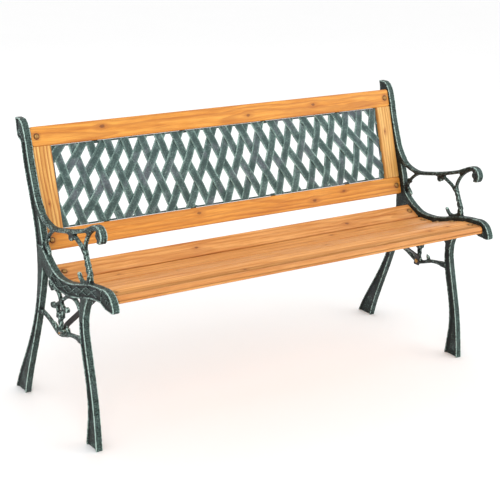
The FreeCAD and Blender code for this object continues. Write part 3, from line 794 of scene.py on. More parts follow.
def rounded_outline(half_width, half_height, radii, steps):
    """Corner points of a rectangle with a rounding at each corner, with its flats marked.
    The corners run from the rear top one to the front top one and on round."""
    points = []
    edges = []
    corners = [(1, 1), (-1, 1), (-1, -1), (1, -1)]
    for number, (sign_y, sign_z) in enumerate(corners):
        radius = radii[number]
        centre_y = sign_y * (half_width - radius)
        centre_z = sign_z * (half_height - radius)
        start = math.pi / 2 * number
        margin = min(radius, half_height - radius) * 0.2
        for k in range(-1, steps + 2):
            share = min(max(k, 0), steps) / steps
            turn = start + share * math.pi / 2
            y = centre_y + radius * math.cos(turn)
            z = centre_z + radius * math.sin(turn)
            if k == -1:
                y, z = y + margin * math.sin(turn), z - margin * math.cos(turn)
            if k == steps + 1:
                y, z = y - margin * math.sin(turn), z + margin * math.cos(turn)
            points.append((y, z))
            edges.append(0.0 if k in (-1, steps + 1) else 1.0)
    return points, edges


def board_start(number):
    """Where a board lies in the wood: far from the others, so that no two look alike."""
    along = BOARD_SPACING * number
    return (along, along * 0.37, along * 0.11)


def inset_at(distance, radius):
    """How far a rounding of that radius has cut in at a distance from the end."""
    share = min(distance / radius, 1.0)
    return radius * (1 - math.sqrt(1 - (1 - share) ** 2))


def lofted(outline, stations):
    """A closed bar from one outline at several stations: its points and faces.
    A station is its place along the bar, its share of the height and its two side insets."""
    width = 2 * max(y for y, z in outline)
    points = []
    for x, share, rear_inset, front_inset in stations:
        narrow = 1 - (rear_inset + front_inset) / width
        shift = (front_inset - rear_inset) / 2
        points += [(x, y * narrow + shift, z * share) for y, z in outline]
    return points, ring_faces(len(stations), len(outline))


def board_mesh(size, radii, end_round, corners, start):
    """A planed board lying along X about the origin, with rounded edges, ends and corners."""
    half_length, half_width, half_height = size
    rear_corner, front_corner = corners
    outline, flags = rounded_outline(half_width, half_height, radii, 6)
    quarter = [1 - math.cos(math.pi / 2 * k / 6) for k in range(7)]
    distances = {round(share * radius, 6) for share in quarter
                 for radius in (end_round, max(corners))}
    distances.add(max(*corners, end_round) + MM)
    ends = []
    for distance in sorted(distances):
        share = 1 - inset_at(distance, end_round) / half_height
        ends.append((half_length - distance, share, inset_at(distance, rear_corner),
                     inset_at(distance, front_corner)))
    inner = ends[-1][0]
    stations = [(-x, *rest) for x, *rest in ends]
    stations += [(x, 1.0, 0.0, 0.0) for x in np.linspace(-inner, inner, 26)[1:-1]]
    stations += ends[::-1]
    points, faces = lofted(outline, stations)
    mesh = mesh_from(points, faces)
    near_end = [1.0 if share < 0.999 else 0.0 for _, share, _, _ in stations]
    edge = [max(flag, end) for end in near_end for flag in flags]
    set_attribute(mesh, "grain", np.array(points) + np.array(start))
    set_attribute(mesh, "edge", np.array(edge))
    outward(mesh)
    mesh.shade_smooth()
    return mesh


# ---------------------------------------------------------------------------
# Geometry node trees


def shape_group(name, inputs):
    """An empty geometry tree with its sockets, and its input and output nodes."""
    group = bpy.data.node_groups.new(name, "GeometryNodeTree")
    group.interface.new_socket(name="Geometry", in_out="INPUT", socket_type=GEOMETRY)
    for label, kind, default in inputs:
        socket = group.interface.new_socket(name=label, in_out="INPUT", socket_type=kind)
        if default is not None:
            socket.default_value = default
    group.interface.new_socket(name="Geometry", in_out="OUTPUT", socket_type=GEOMETRY)
    tree = Tree(group)
    return tree, tree.node("NodeGroupInput").outputs, tree.node("NodeGroupOutput").inputs


def run_tree(group, values, mesh=None):
    """Runs a geometry tree with named values on a mesh, and returns the plain mesh."""
    piece = work_object(mesh or bpy.data.meshes.new("start"))
    modifier = piece.modifiers.new("Shape", "NODES")
    modifier.node_group = group
    for item in group.interface.items_tree:
        if item.in_out == "INPUT" and item.name in values:
            modifier[item.identifier] = values[item.name]
    piece.update_tag()
    return evaluated_mesh(piece)


def end_tree(tree, geometry, material, output):
    """Ends a geometry tree with real, dressed geometry."""
    real = tree.node("GeometryNodeRealizeInstances", {0: geometry}).outputs[0]
    set_one = tree.node("GeometryNodeSetMaterial", {"Geometry": real, "Material": material})
    tree.link(set_one.outputs[0], output["Geometry"])


def strip_tree():
    """Strips of one direction of the fan, side by side, each rising and dipping as it goes."""
    inputs = [("Strips", INTEGER, 26), ("Points", INTEGER, 60),
              ("Rows Below", FLOAT, 3.9), ("Rows Above", FLOAT, 1.7),
              ("Squeeze", FLOAT, 1.3), ("Pitch", FLOAT, 0.0556),
              ("Row", FLOAT, 0.059), ("Fan Radius", FLOAT, 1.99),
              ("Fan Centre", FLOAT, 2.1), ("Width", FLOAT, 0.0225),
              ("Thickness", FLOAT, 0.005), ("Rim", FLOAT, 0.001),
              ("Weave", FLOAT, 0.0016), ("Hand", FLOAT, 1.0),
              ("Material", MATERIAL, None)]
    tree, given, output = shape_group("Woven Strips", inputs)
    first = tree.times(tree.minus(given["Strips"], 1.0), -0.5)
    starts = tree.node("GeometryNodeMeshLine", {"Count": given["Strips"],
                                                "Start Location": tree.xyz(first, 0.0, 0.0),
                                                "Offset": (1.0, 0.0, 0.0)}).outputs[0]
    low = tree.xyz(0.0, tree.times(given["Rows Below"], -1.0), 0.0)
    high = tree.xyz(0.0, given["Rows Above"], 0.0)
    line = tree.node("GeometryNodeCurvePrimitiveLine", {"Start": low, "End": high}).outputs[0]
    line = tree.node("GeometryNodeResampleCurve", {"Curve": line, "Count": given["Points"]})
    strips = tree.node("GeometryNodeInstanceOnPoints", {"Points": starts,
                                                        "Instance": line.outputs[0]})
    strips = tree.node("GeometryNodeRealizeInstances", {0: strips.outputs[0]}).outputs[0]
    number, row, _ = tree.split(tree.node("GeometryNodeInputPosition").outputs[0])
    share = tree.plus(number, tree.times(row, 0.5))
    angle = tree.over(tree.times(share, given["Pitch"]),
                      given["Fan Radius"])
    bend = tree.times(tree.times(angle, angle), given["Squeeze"])
    depth = tree.times(tree.times(row, given["Row"]), tree.minus(1.0, bend))
    radius = tree.minus(given["Fan Radius"], depth)
    streak_place = tree.xyz(tree.times(row, given["Row"]), 0.0,
                            tree.plus(number, tree.times(given["Hand"], 40.0)))
    strips = tree.node("GeometryNodeStoreNamedAttribute",
                       {"Geometry": strips, "Name": "strip", "Value": streak_place},
                       data_type="FLOAT_VECTOR", domain="POINT").outputs[0]
    x = tree.times(tree.times(radius, tree.math("SINE", angle)), given["Hand"])
    y = tree.minus(given["Fan Centre"], tree.times(radius, tree.math("COSINE", angle)))
    wave = tree.math("COSINE", tree.times(row, math.pi))
    z = tree.times(tree.times(wave, given["Weave"]), given["Hand"])
    strips = tree.node("GeometryNodeSetPosition", {"Geometry": strips,
                                                   "Position": tree.xyz(x, y, z)}).outputs[0]
    strips = tree.node("GeometryNodeSetCurveNormal", {0: strips}, mode="Z_UP").outputs[0]
    section = tree.node("GeometryNodeCurvePrimitiveQuadrilateral",
                        {"Width": given["Width"], "Height": given["Thickness"]}).outputs[0]
    section = tree.node("GeometryNodeSubdivideCurve", {"Curve": section, "Cuts": 7}).outputs[0]
    section_x, section_y, _ = tree.split(tree.node("GeometryNodeInputPosition").outputs[0])
    from_middle = tree.over(tree.math("ABSOLUTE", section_x), given["Width"])
    sunk = tree.times(tree.ramp(from_middle, 0.42, 0.26), given["Rim"])
    corner = tree.times(tree.ramp(from_middle, 0.45, 0.5), tree.times(given["Rim"], 0.7))
    sunk = tree.plus(sunk, corner)
    section = tree.node("GeometryNodeStoreNamedAttribute",
                        {"Geometry": section, "Name": "across", "Value": section_x},
                        data_type="FLOAT", domain="POINT").outputs[0]
    way = tree.math("SIGN", section_y)
    move = tree.times(tree.times(sunk, way), -1.0)
    face = tree.math("GREATER_THAN", tree.math("ABSOLUTE", section_y),
                     tree.times(given["Thickness"], 0.45))
    move = tree.times(move, face)
    section = tree.node("GeometryNodeSetPosition", {"Geometry": section,
                                                    "Offset": tree.xyz(0.0, move, 0.0)})
    solid = tree.node("GeometryNodeCurveToMesh", {"Curve": strips,
                                                  "Profile Curve": section.outputs[0],
                                                  "Fill Caps": True}).outputs[0]
    end_tree(tree, solid, given["Material"], output)
    return tree.tree


def at_points(tree, geometry, shape):
    """Puts a shape at every point, its Z axis along the point's axis attribute."""
    axis = tree.node("GeometryNodeInputNamedAttribute", {"Name": "axis"},
                     data_type="FLOAT_VECTOR").outputs[0]
    turn = tree.node("FunctionNodeAlignRotationToVector", {"Vector": axis}, axis="Z").outputs[0]
    return tree.node("GeometryNodeInstanceOnPoints", {"Points": geometry, "Instance": shape,
                                                      "Rotation": turn}).outputs[0]


def bolt_tree():
    """Domed bolts: a cap with a soft rim on its seat, and a threaded shank below it."""
    inputs = [("Head Width", FLOAT, 0.013), ("Head Height", FLOAT, 0.0035),
              ("Shank Width", FLOAT, 0.006), ("Shank Length", FLOAT, 0.03),
              ("Thread Length", FLOAT, 0.01),
              ("Thread Pitch", FLOAT, 0.001), ("Material", MATERIAL, None)]
    tree, given, output = shape_group("Domed Bolts", inputs)
    head_radius = tree.times(given["Head Width"], 0.5)
    head = tree.node("GeometryNodeMeshCylinder", {"Vertices": 28, "Side Segments": 2,
                                                  "Fill Segments": 7, "Radius": head_radius,
                                                  "Depth": given["Head Height"]}).outputs[0]
    x, y, z = tree.split(tree.node("GeometryNodeInputPosition").outputs[0])
    reach = tree.over(tree.vector("LENGTH", tree.xyz(x, y, 0.0)), head_radius)
    round_share = tree.math("SQRT", tree.minus(1.0001, tree.times(reach, reach)))
    base = tree.plus(tree.over(z, given["Head Height"]), 0.5)
    lifted = tree.plus(0.12, tree.times(round_share, 0.88))
    top = tree.times(tree.times(base, lifted), given["Head Height"])
    head = tree.node("GeometryNodeSetPosition", {"Geometry": head,
                                                 "Position": tree.xyz(x, y, top)}).outputs[0]
    rings = tree.times(tree.over(given["Shank Length"], given["Thread Pitch"]), 4.0)
    shank = tree.node("GeometryNodeMeshCylinder",
                      {"Vertices": 16, "Side Segments": rings,
                       "Radius": tree.times(given["Shank Width"], 0.5),
                       "Depth": given["Shank Length"]}).outputs[0]
    a, b, c = tree.split(tree.node("GeometryNodeInputPosition").outputs[0])
    turn = tree.over(tree.math("ARCTAN2", b, a), 2 * math.pi)
    phase = tree.math("FRACT", tree.plus(tree.over(c, given["Thread Pitch"]),
                                         turn))
    crest = tree.math("ABSOLUTE", tree.minus(phase, 0.5))
    from_end = tree.plus(c, tree.times(given["Shank Length"], 0.5))
    threaded = tree.math("LESS_THAN", from_end, given["Thread Length"])
    shrink = tree.minus(1.0, tree.times(tree.times(crest, 0.3), threaded))
    tip = tree.times(shrink, tree.ramp(from_end, -0.0002, 0.0008, 0.84, 1.0))
    sunk = tree.minus(c, tree.times(given["Shank Length"], 0.5))
    place = tree.xyz(tree.times(a, tip), tree.times(b, tip),
                     tree.plus(sunk, 0.0004))
    shank = tree.node("GeometryNodeSetPosition", {"Geometry": shank,
                                                  "Position": place}).outputs[0]
    both = tree.node("GeometryNodeJoinGeometry")
    tree.link(head, both.inputs[0])
    tree.link(shank, both.inputs[0])
    end_tree(tree, at_points(tree, given["Geometry"], both.outputs[0]), given["Material"], output)
    return tree.tree


def nut_tree():
    """Hexagon nuts and washers: a ring between two radii, with its outer rims broken."""
    inputs = [("Sides", INTEGER, 6), ("Outer Width", FLOAT, 0.0115),
              ("Bore", FLOAT, 0.006), ("Height", FLOAT, 0.005),
              ("Break", FLOAT, 0.0006), ("Material", MATERIAL, None)]
    tree, given, output = shape_group("Nuts and Washers", inputs)
    outer = tree.times(given["Outer Width"], 0.5)
    inner = tree.times(given["Bore"], 0.5)
    ring = tree.node("GeometryNodeCurvePrimitiveCircle", {"Resolution": 48, "Radius": 1.0})
    section = tree.node("GeometryNodeCurvePrimitiveQuadrilateral",
                        {"Width": 1.0, "Height": given["Height"]}).outputs[0]
    section = tree.node("GeometryNodeSubdivideCurve", {"Curve": section, "Cuts": 9}).outputs[0]
    solid = tree.node("GeometryNodeCurveToMesh", {"Curve": ring.outputs[0],
                                                  "Profile Curve": section}).outputs[0]
    x, y, z = tree.split(tree.node("GeometryNodeInputPosition").outputs[0])
    reach = tree.vector("LENGTH", tree.xyz(x, y, 0.0))
    share = tree.math("SUBTRACT", reach, 0.5, clamp=True)
    turn = tree.math("ARCTAN2", y, x)
    step = tree.over(2 * math.pi, given["Sides"])
    local = tree.math("PINGPONG", turn, tree.times(step, 0.5))
    flat = tree.over(tree.math("COSINE", tree.times(step, 0.5)),
                     tree.math("COSINE", tree.minus(tree.times(step, 0.5), local)))
    corner = tree.times(outer, flat)
    top = tree.over(tree.math("ABSOLUTE", z),
                    tree.times(given["Height"], 0.5))
    limit = tree.minus(outer, tree.times(tree.ramp(top, 0.7, 1.0), given["Break"]))
    corner = tree.math("MINIMUM", corner, limit)
    final = tree.plus(inner, tree.times(tree.minus(corner, inner), share))
    scale = tree.over(final, reach)
    place = tree.xyz(tree.times(x, scale), tree.times(y, scale), z)
    solid = tree.node("GeometryNodeSetPosition", {"Geometry": solid,
                                                  "Position": place}).outputs[0]
    end_tree(tree, at_points(tree, given["Geometry"], solid), given["Material"], output)
    return tree.tree


def point_mesh(places, axes):
    """A mesh of loose points, each with the axis of what stands there."""
    mesh = mesh_from(places, [])
    set_attribute(mesh, "axis", np.array(axes, float))
    return mesh


# ---------------------------------------------------------------------------
# Side frames

# Centre lines of the casting's members as (distance from front to rear, height), in
# millimetres, drawn with the middle of the depth at -37, and each one's widths in the side
# view and along the bench.
DRAWN_CENTRE = -37.0
DRAWN_DEPTH = 532.0
DRAWN_HEIGHT = 750.0
ARM = [(113, 566), (97, 544), (80, 527), (60, 516), (40, 510), (20, 507), (0, 508), (-30, 514),
       (-80, 526), (-130, 541), (-180, 560), (-206, 570), (-224, 569), (-234, 557), (-231, 544),
       (-220, 541)]
POST_UPPER = [(-188, 560), (-167, 543), (-156, 526), (-150, 511), (-149, 494)]
POST_BRANCH = [(-146, 490), (-132, 503), (-115, 511), (-97, 518), (-84, 520), (-74, 513),
               (-77, 503)]
POST_LOWER = [(-149, 500), (-156, 483), (-166, 464), (-174, 446), (-172, 422)]
POST_HOOK = [(-174, 434), (-160, 422), (-146, 417), (-130, 419), (-120, 430)]
REAR_LOOP = [(5, 506), (29, 493), (45, 477), (55, 461), (66, 448)]
LOOP_LEAF = [(58, 455), (48, 446), (39, 437)]
SCROLL_FRONT = [(-140, 322), (-123, 338), (-110, 351), (-92, 357), (-57, 350), (-37, 338),
                (-17, 323), (18, 305)]
SCROLL_REAR = [(36, 366), (33, 350), (18, 351), (-2, 350), (-14, 342), (-20, 332), (-32, 316),
               (-53, 314)]
FORK_FRONT = [(-21, 286), (-34, 301), (-31, 317)]
FORK_REAR = [(-19, 286), (-6, 300), (-8, 318)]
TWIST_POST = [(-20, 296), (-20, 273), (-20, 240)]
STRETCHER = [(104, 256), (70, 265), (38, 258), (18, 250), (0, 242), (-18, 238), (-42, 243),
             (-72, 254), (-92, 258), (-120, 260), (-150, 262)]
SPUR = [(-64, 250), (-61, 258), (-57, 267)]
RAIL = [(-262, 420), (-240, 419.5), (-200, 415), (-170, 408.5), (-140, 399.5), (-108, 389.5),
        (-76, 382.5), (-45, 380.5), (-14, 382.5), (10, 391), (36, 405), (66, 430)]
CASTING_WIDTH = 20.0
SCROLL_WIDTH = 12.0
ROUNDED = [(ARM[2:], 11, CASTING_WIDTH, 0.55), (POST_UPPER, 9.5, SCROLL_WIDTH, 0.9),
           (POST_BRANCH, 9.5, SCROLL_WIDTH, 0.9), (POST_LOWER, 12.5, 14, 1.0),
           (POST_HOOK, 9.5, SCROLL_WIDTH, 0.9), (REAR_LOOP, 9.5, SCROLL_WIDTH, 0.9),
           (LOOP_LEAF, 9.5, SCROLL_WIDTH, 0.9), (SCROLL_FRONT, 9.5, SCROLL_WIDTH, 0.9),
           (SCROLL_REAR, 9.5, SCROLL_WIDTH, 0.9), (FORK_FRONT, 9.5, SCROLL_WIDTH, 0.9),
           (FORK_REAR, 9.5, SCROLL_WIDTH, 0.9), (TWIST_POST, 21, 18, 1.0),
           (STRETCHER[1:-1], 11, SCROLL_WIDTH, 0.8), (SPUR, 9.5, SCROLL_WIDTH, 0.9)]


# Ornament: twisted strands (line, radius of the twist, turns, thickness), collars (place,
# radius, tilt, thickness), knobs (place, radius, share of width) and leaves (line, width,
# share of thickness).
TWISTS = [([(-149, 500), (-155, 484), (-163, 466)], 5.4, 1.0, 2.6),
          ([(-164, 464), (-172, 446), (-172, 426)], 6.4, 0.6, 3.0),
          ([(-20, 298), (-20, 270), (-20, 242)], 5.0, 1.1, 3.0)]
COLLARS = [(-149, 497, 6.4, 0.25, 2.2), (-163, 466, 7.4, 0.5, 2.2), (-152, 491, 6.0, 0.3, 1.8),
           (-20, 292, 5.6, 0.0, 2.2), (-20, 250, 6.0, 0.0, 2.2)]
KNOBS = [(-78, 507, 5.6, 1.2), (-119, 431, 5.2, 1.1), (38, 436, 5.0, 1.1), (24, 350, 5.4, 1.0),
         (20, 304, 5.4, 1.0), (-54, 314, 5.4, 1.0)]
LEAVES = [([(28, 306), (16, 300), (5, 305), (-8, 314)], 4.2, 1.2),
          ([(-64, 322), (-54, 312), (-44, 308), (-34, 312)], 4.2, 1.2),
          ([(34, 372), (28, 358), (16, 350), (4, 350)], 4.6, 1.2),
          ([(-52, 272), (-58, 262), (-66, 252), (-78, 252)], 4.0, 1.2),
          ([(12, 262), (4, 252), (-4, 242), (-14, 238)], 4.2, 1.3),
          ([(60, 470), (52, 478), (44, 470), (36, 474)], 3.6, 1.2),
          ([(72, 440), (58, 446), (46, 440), (36, 432)], 4.4, 1.2)]

# Tooling: where the channel along front faces ends, from a face's middle, the ripples' slope,
# the limits of the rolled ends, their recesses' rims, and the side that was brushed, which is
# also the side that the light falls from: faces turned to it get painted light.
CHANNEL_EDGE = (-8.0, -6.4)
RIPPLE_SLOPE = 0.25
HEAD_BOTTOM = 690 * MM
NOSE_REAR = (-236 - DRAWN_CENTRE) * MM
RAIL_BOTTOM = 370 * MM
RECESS_RIM = 3.2 * MM
RECESS_SLOPE = 1.8 * MM
# Light falls from this side; faces turned to it are painted lighter.
LIGHT_AND_BRUSH_FROM = (-0.25, -0.75, 0.6)

# Relief: the seat rail's lozenges and where they start and end along it, curls (place, reach,
# start in half turns, turns, depth, thickness) and raised lines.
RAIL_CELLS = 5
RAIL_CELL_SHARES = (0.14, 0.86)
CURLS = [(-268, 409, 11.0, 0.1, 1.35, 3.0, 1.9), (188, 716, 9.0, 1.2, 1.3, 3.0, 1.9),
         (52, 425, 8.0, 0.8, 1.2, 4.2, 1.8)]
BEADS = [[(152, 690), (160, 708), (168, 724), (178, 736), (191, 743)],
         [(-232, 428), (-262, 428.5), (-279, 422), (-290, 411), (-296, 400), (-297, 391)]]

# The arm's rolled front end: its bulge round the roll and its flutes across the width.
ROLL_BULGE = [0.0, 1.5, 3.6, 4.6, 4.6, 3.6, 1.5]
ROLL_FLUTES = (3.2, 10.0, 16.8)
MIDDLE_X = CASTING_WIDTH / 2

SLIM_MEMBER = [line for line, _, _, _ in ROUNDED].index(TWIST_POST)
SLIM_SHARE = 0.42
FRAME_LOW, FRAME_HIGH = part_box("left_side_frame")
BY_DEPTH = (FRAME_HIGH.y - FRAME_LOW.y) / DRAWN_DEPTH
BY_HEIGHT = (FRAME_HIGH.z - FRAME_LOW.z) / DRAWN_HEIGHT


def side_place(u, z, x):
    """A point of the left casting: x millimetres in from its outer face."""
    return Vector((FRAME_LOW.x + x * MM, (u - DRAWN_CENTRE) * BY_DEPTH, z * BY_HEIGHT))


def side_line(points, x, step=3.0):
    """A smooth line of the left casting at one depth."""
    return [side_place(u, z, x) for u, z in curve_points(points, step)]


def line_and_sides(points, step):
    """A smooth side line, its direction at each point and the direction square to that."""
    line = curve_points(points, step)
    ways = np.gradient(line, axis=0)
    ways /= np.linalg.norm(ways, axis=1)[:, None]
    return line, ways, np.column_stack([-ways[:, 1], ways[:, 0]])


def strand(points, radius, turns, phase, thickness):
    """One strand that winds round a side line."""
    line, _, normals = line_and_sides(points, 1.5)
    centres = []
    for i, (point, normal) in enumerate(zip(line, normals)):
        share = i / (len(line) - 1)
        swell = radius * (0.55 + 0.45 * math.sin(math.pi * (0.1 + 0.8 * share)))
        turn = 2 * math.pi * (turns * share + phase)
        u, z = point + normal * swell * math.cos(turn)
        centres.append(side_place(u, z, MIDDLE_X + swell * math.sin(turn)))
    return tube(centres, thickness * MM, 8)


def collar(u, z, radius, tilt, thickness):
    """A ring round a post, square to a line tilted from the vertical."""
    centres = []
    for k in range(17):
        turn = 2 * math.pi * k / 16
        side = radius * math.cos(turn)
        centres.append(side_place(u + side * math.cos(tilt), z + side * math.sin(tilt),
                                  MIDDLE_X + radius * math.sin(turn)))
    return tube(centres, thickness * MM, 8)


def ball(u, z, radius, wide):
    """A knob: a round form, wider along the bench by a share."""
    centre = side_place(u, z, MIDDLE_X)
    points = []
    rows = 8
    sides = 14
    for i in range(rows + 1):
        rise = math.pi * (0.04 + 0.92 * i / rows)
        for k in range(sides):
            turn = 2 * math.pi * k / sides
            points.append(centre + Vector((math.cos(turn) * math.sin(rise) * wide,
                                           math.sin(turn) * math.sin(rise),
                                           math.cos(rise))) * radius * MM)
    return points, ring_faces(rows + 1, sides)


def curl(u, z, radius, start, turns, x, thickness):
    """A small spiral scroll in the side view, thinner towards its middle."""
    centres = []
    radii = []
    count = int(26 * abs(turns)) + 4
    for k in range(count):
        share = k / (count - 1)
        turn = start + 2 * math.pi * turns * share
        reach = radius * (1 - 0.8 * share)
        centres.append(side_place(u + reach * math.cos(turn), z + reach * math.sin(turn), x))
        radii.append(thickness * (1 - 0.35 * share) * MM)
    return tube(centres, radii, 8)


def leaf(points, width, thickness):
    """A pointed leaf along a side line: wide in the middle and thin at its tip."""
    line = curve_points(points, 1.5)
    radii = []
    for i in range(len(line)):
        share = i / (len(line) - 1)
        radii.append(max(0.6, width * math.sin(math.pi * (0.12 + 0.8 * share))) * MM)
    centres = [side_place(u, z, MIDDLE_X) for u, z in line]
    return tube(centres, radii, 10, thickness)


def grown_ornament():
    """Ornament that melts into the casting: strands, collars, knobs, leaves and curls."""
    parts = []
    for k in range(3):
        for line, radius, turns, thickness in TWISTS:
            parts.append(strand(line, radius, turns, k / 3, thickness))
    parts += [collar(*row) for row in COLLARS]
    parts += [ball(u, z, radius, wide) for u, z, radius, wide in KNOBS]
    parts += [leaf(line, width, thick) for line, width, thick in LEAVES]
    roll, _, normals = line_and_sides(ARM[9:], 2.5)
    steps = np.linspace(0, len(ROLL_BULGE) - 1, len(roll))
    distance = np.interp(steps, range(len(ROLL_BULGE)), ROLL_BULGE)
    roll = roll - normals * distance[:, None]
    for x in ROLL_FLUTES:
        radii = [(2.6 + 0.35 * d) * MM for d in distance]
        parts.append(tube([side_place(u, z, x) for u, z in roll], radii, 8))
    return joined(parts)


def fine_relief():
    """Crisp raised lines and curls on the outer faces."""
    look = settings().casting
    radius = look.relief_radius
    parts = []
    rail, _, normals = line_and_sides(RAIL, 1.0)
    floor = 4.6

    def on_rail(share, height):
        """A point on the rail's outer face: a share along it, a height across it."""
        i = min(int(share * (len(rail) - 1)), len(rail) - 1)
        u, z = rail[i] + normals[i] * (-5.7 + height)
        return side_place(u, z, floor)

    cells = RAIL_CELLS
    first, last = RAIL_CELL_SHARES
    for phase in (1, -1):
        points = []
        for k in range(cells * 12 + 1):
            share = k / (cells * 12)
            zig = 2 * abs(((share * cells) % 2) - 1) - 1
            points.append(on_rail(first + (last - first) * share, 10.5 * phase * zig))
        parts.append(tube(points, radius, 6))
    for k in range(0, cells, 2):
        centre = on_rail(first + (last - first) * (k + 0.5) / cells, 0.0)
        parts.append(curl(centre.y / BY_DEPTH + DRAWN_CENTRE, centre.z / BY_HEIGHT, 4.0,
                          math.pi / 2, 0.9, floor, 1.3))
    for u, z, reach, start, turns, x, thickness in CURLS:
        parts.append(curl(u, z, reach, math.pi * start, turns, x, thickness))
    parts += [tube(side_line(line, 1.9), 1.5 * MM, 8) for line in BEADS]
    return joined(parts)


def edge_table(mesh):
    """The two ends of each of a mesh's edges."""
    edges = np.zeros(len(mesh.edges) * 2, np.int64)
    mesh.edges.foreach_get("vertices", edges)
    return edges.reshape(-1, 2)


def neighbour_mean(values, edges, count):
    """The mean of each vertex's neighbours, for one value or several."""
    flat = values.reshape(len(values), -1)
    total = np.zeros_like(flat)
    for k in range(flat.shape[1]):
        total[:, k] = np.bincount(edges[:, 0], flat[edges[:, 1], k], len(flat))
        total[:, k] += np.bincount(edges[:, 1], flat[edges[:, 0], k], len(flat))
    return (total / np.maximum(count, 1)[:, None]).reshape(values.shape)


def smoothed(values, edges, rounds, share=0.5, back=0.0):
    """Evens values out over the mesh. A share back after each round keeps its volume."""
    count = np.bincount(edges.ravel(), minlength=len(values))
    for _ in range(rounds):
        values = values + share * (neighbour_mean(values, edges, count) - values)
        if back:
            values = values - back * (neighbour_mean(values, edges, count) - values)
    return values


def smooth_step(values, low, high):
    """0 below one limit, 1 above the other and a smooth rise between them."""
    share = np.clip((values - low) / (high - low), 0, 1)
    return share * share * (3 - 2 * share)


def rounded_members(points):
    """Turns the members' square sections towards round ones."""
    samples = []
    for number, (line, width, breadth, share) in enumerate(ROUNDED):
        smooth, ways, _ = line_and_sides(line, 1.0)
        for (u, z), (along_u, along_z) in zip(smooth, ways):
            samples.append((u, z, along_u, along_z, width / 2, breadth / 2, share, number))
    samples = np.array(samples)
    tree = KDTree(len(samples))
    for i, (u, z) in enumerate(samples[:, :2]):
        tree.insert((u, z, 0), i)
    tree.balance()
    moved = points.copy()
    side_u = points[:, 1] / BY_DEPTH + DRAWN_CENTRE
    side_z = points[:, 2] / BY_HEIGHT
    inward = (points[:, 0] - FRAME_LOW.x) / MM
    for i in range(len(points)):
        if inward[i] > CASTING_WIDTH + 0.5:
            continue
        _, nearest, distance = tree.find((side_u[i], side_z[i], 0))
        u, z, along_u, along_z, half, half_x, share, number = samples[nearest]
        if distance > half + 2.5:
            continue
        across = (side_u[i] - u) * -along_z + (side_z[i] - z) * along_u
        lift = inward[i] - MIDDLE_X
        along = (side_u[i] - u) * along_u + (side_z[i] - z) * along_z
        if abs(across) > half + 1.5 or abs(lift) > half_x + 1.0 or abs(along) > 3:
            continue
        flat_a = min(abs(across) / half, 1.0)
        flat_x = min(abs(lift) / half_x, 1.0)
        new_across = across * (1 - share + share * math.sqrt(1 - flat_x ** 2 / 2))
        new_lift = lift * (1 - share + share * math.sqrt(1 - flat_a ** 2 / 2))
        if number == SLIM_MEMBER:
            reach = (z - TWIST_POST[-1][1]) / (TWIST_POST[0][1] - TWIST_POST[-1][1])
            slim = 1 - SLIM_SHARE * math.sin(math.pi * min(max(reach, 0), 1)) ** 0.5
            new_across *= slim
            new_lift *= slim
        change = new_across - across
        moved[i, 1] += change * -along_z * BY_DEPTH
        moved[i, 2] += change * along_u * BY_HEIGHT
        moved[i, 0] += (new_lift - lift) * MM
    return moved


def casting_mesh():
    """The left casting: the CAD shape with round members, ornament, soft edges and tooling."""
    look = settings().casting
    body = remeshed(merged_copy("left_side_frame"), look.cell)
    set_coordinates(body, rounded_members(coordinates(body)))
    mesh = remeshed(merged([body, mesh_from(*grown_ornament())]), look.cell)
    edges = edge_table(mesh)
    points = smoothed(coordinates(mesh), edges, 4, 0.5, 0.3)
    points = np.clip(points, np.array(FRAME_LOW), np.array(FRAME_HIGH))
    set_coordinates(mesh, points)

    normals = smoothed(vertex_normals(mesh), edges, 2)
    normals /= np.linalg.norm(normals, axis=1)[:, None] + 1e-9
    inward = (points[:, 0] - FRAME_LOW.x) / MM
    height = points[:, 2]
    in_casting = smooth_step(-inward, -CASTING_WIDTH - 1, -CASTING_WIDTH)
    front = smooth_step(-normals[:, 1], 0.62, 0.86) * in_casting
    front *= smooth_step(-np.abs(normals[:, 0]), -0.45, -0.2)
    middle = smooth_step(-np.abs(inward - MIDDLE_X), *CHANNEL_EDGE) * front
    along = height - RIPPLE_SLOPE * points[:, 1]
    ripple = 0.5 + 0.5 * np.sin(2 * math.pi * along / look.ripple_pitch)
    sink = middle * (look.groove_depth + look.ripple_height * ripple)

    wall = np.abs(normals[:, 0]) < 0.6
    tree = KDTree(int(wall.sum()))
    for k, i in enumerate(np.nonzero(wall)[0]):
        tree.insert(points[i], k)
    tree.balance()
    rolled = (height > HEAD_BOTTOM) | (points[:, 1] < NOSE_REAR)
    rolled &= height > RAIL_BOTTOM
    outer = rolled & (normals[:, 0] < -0.8) & (inward < 1.0)
    for i in np.nonzero(outer)[0]:
        _, _, distance = tree.find(points[i])
        share = min(max((distance - RECESS_RIM) / RECESS_SLOPE, 0.0), 1.0)
        points[i, 0] += share * look.recess_depth
    points -= normals * sink[:, None]
    points = smoothed(points, edges, 1, 0.25)
    points = np.clip(points, np.array(FRAME_LOW), np.array(FRAME_HIGH))
    set_coordinates(mesh, points)
    set_wear_and_lit_side(mesh, edges, middle)
    mesh.shade_smooth()
    return mesh


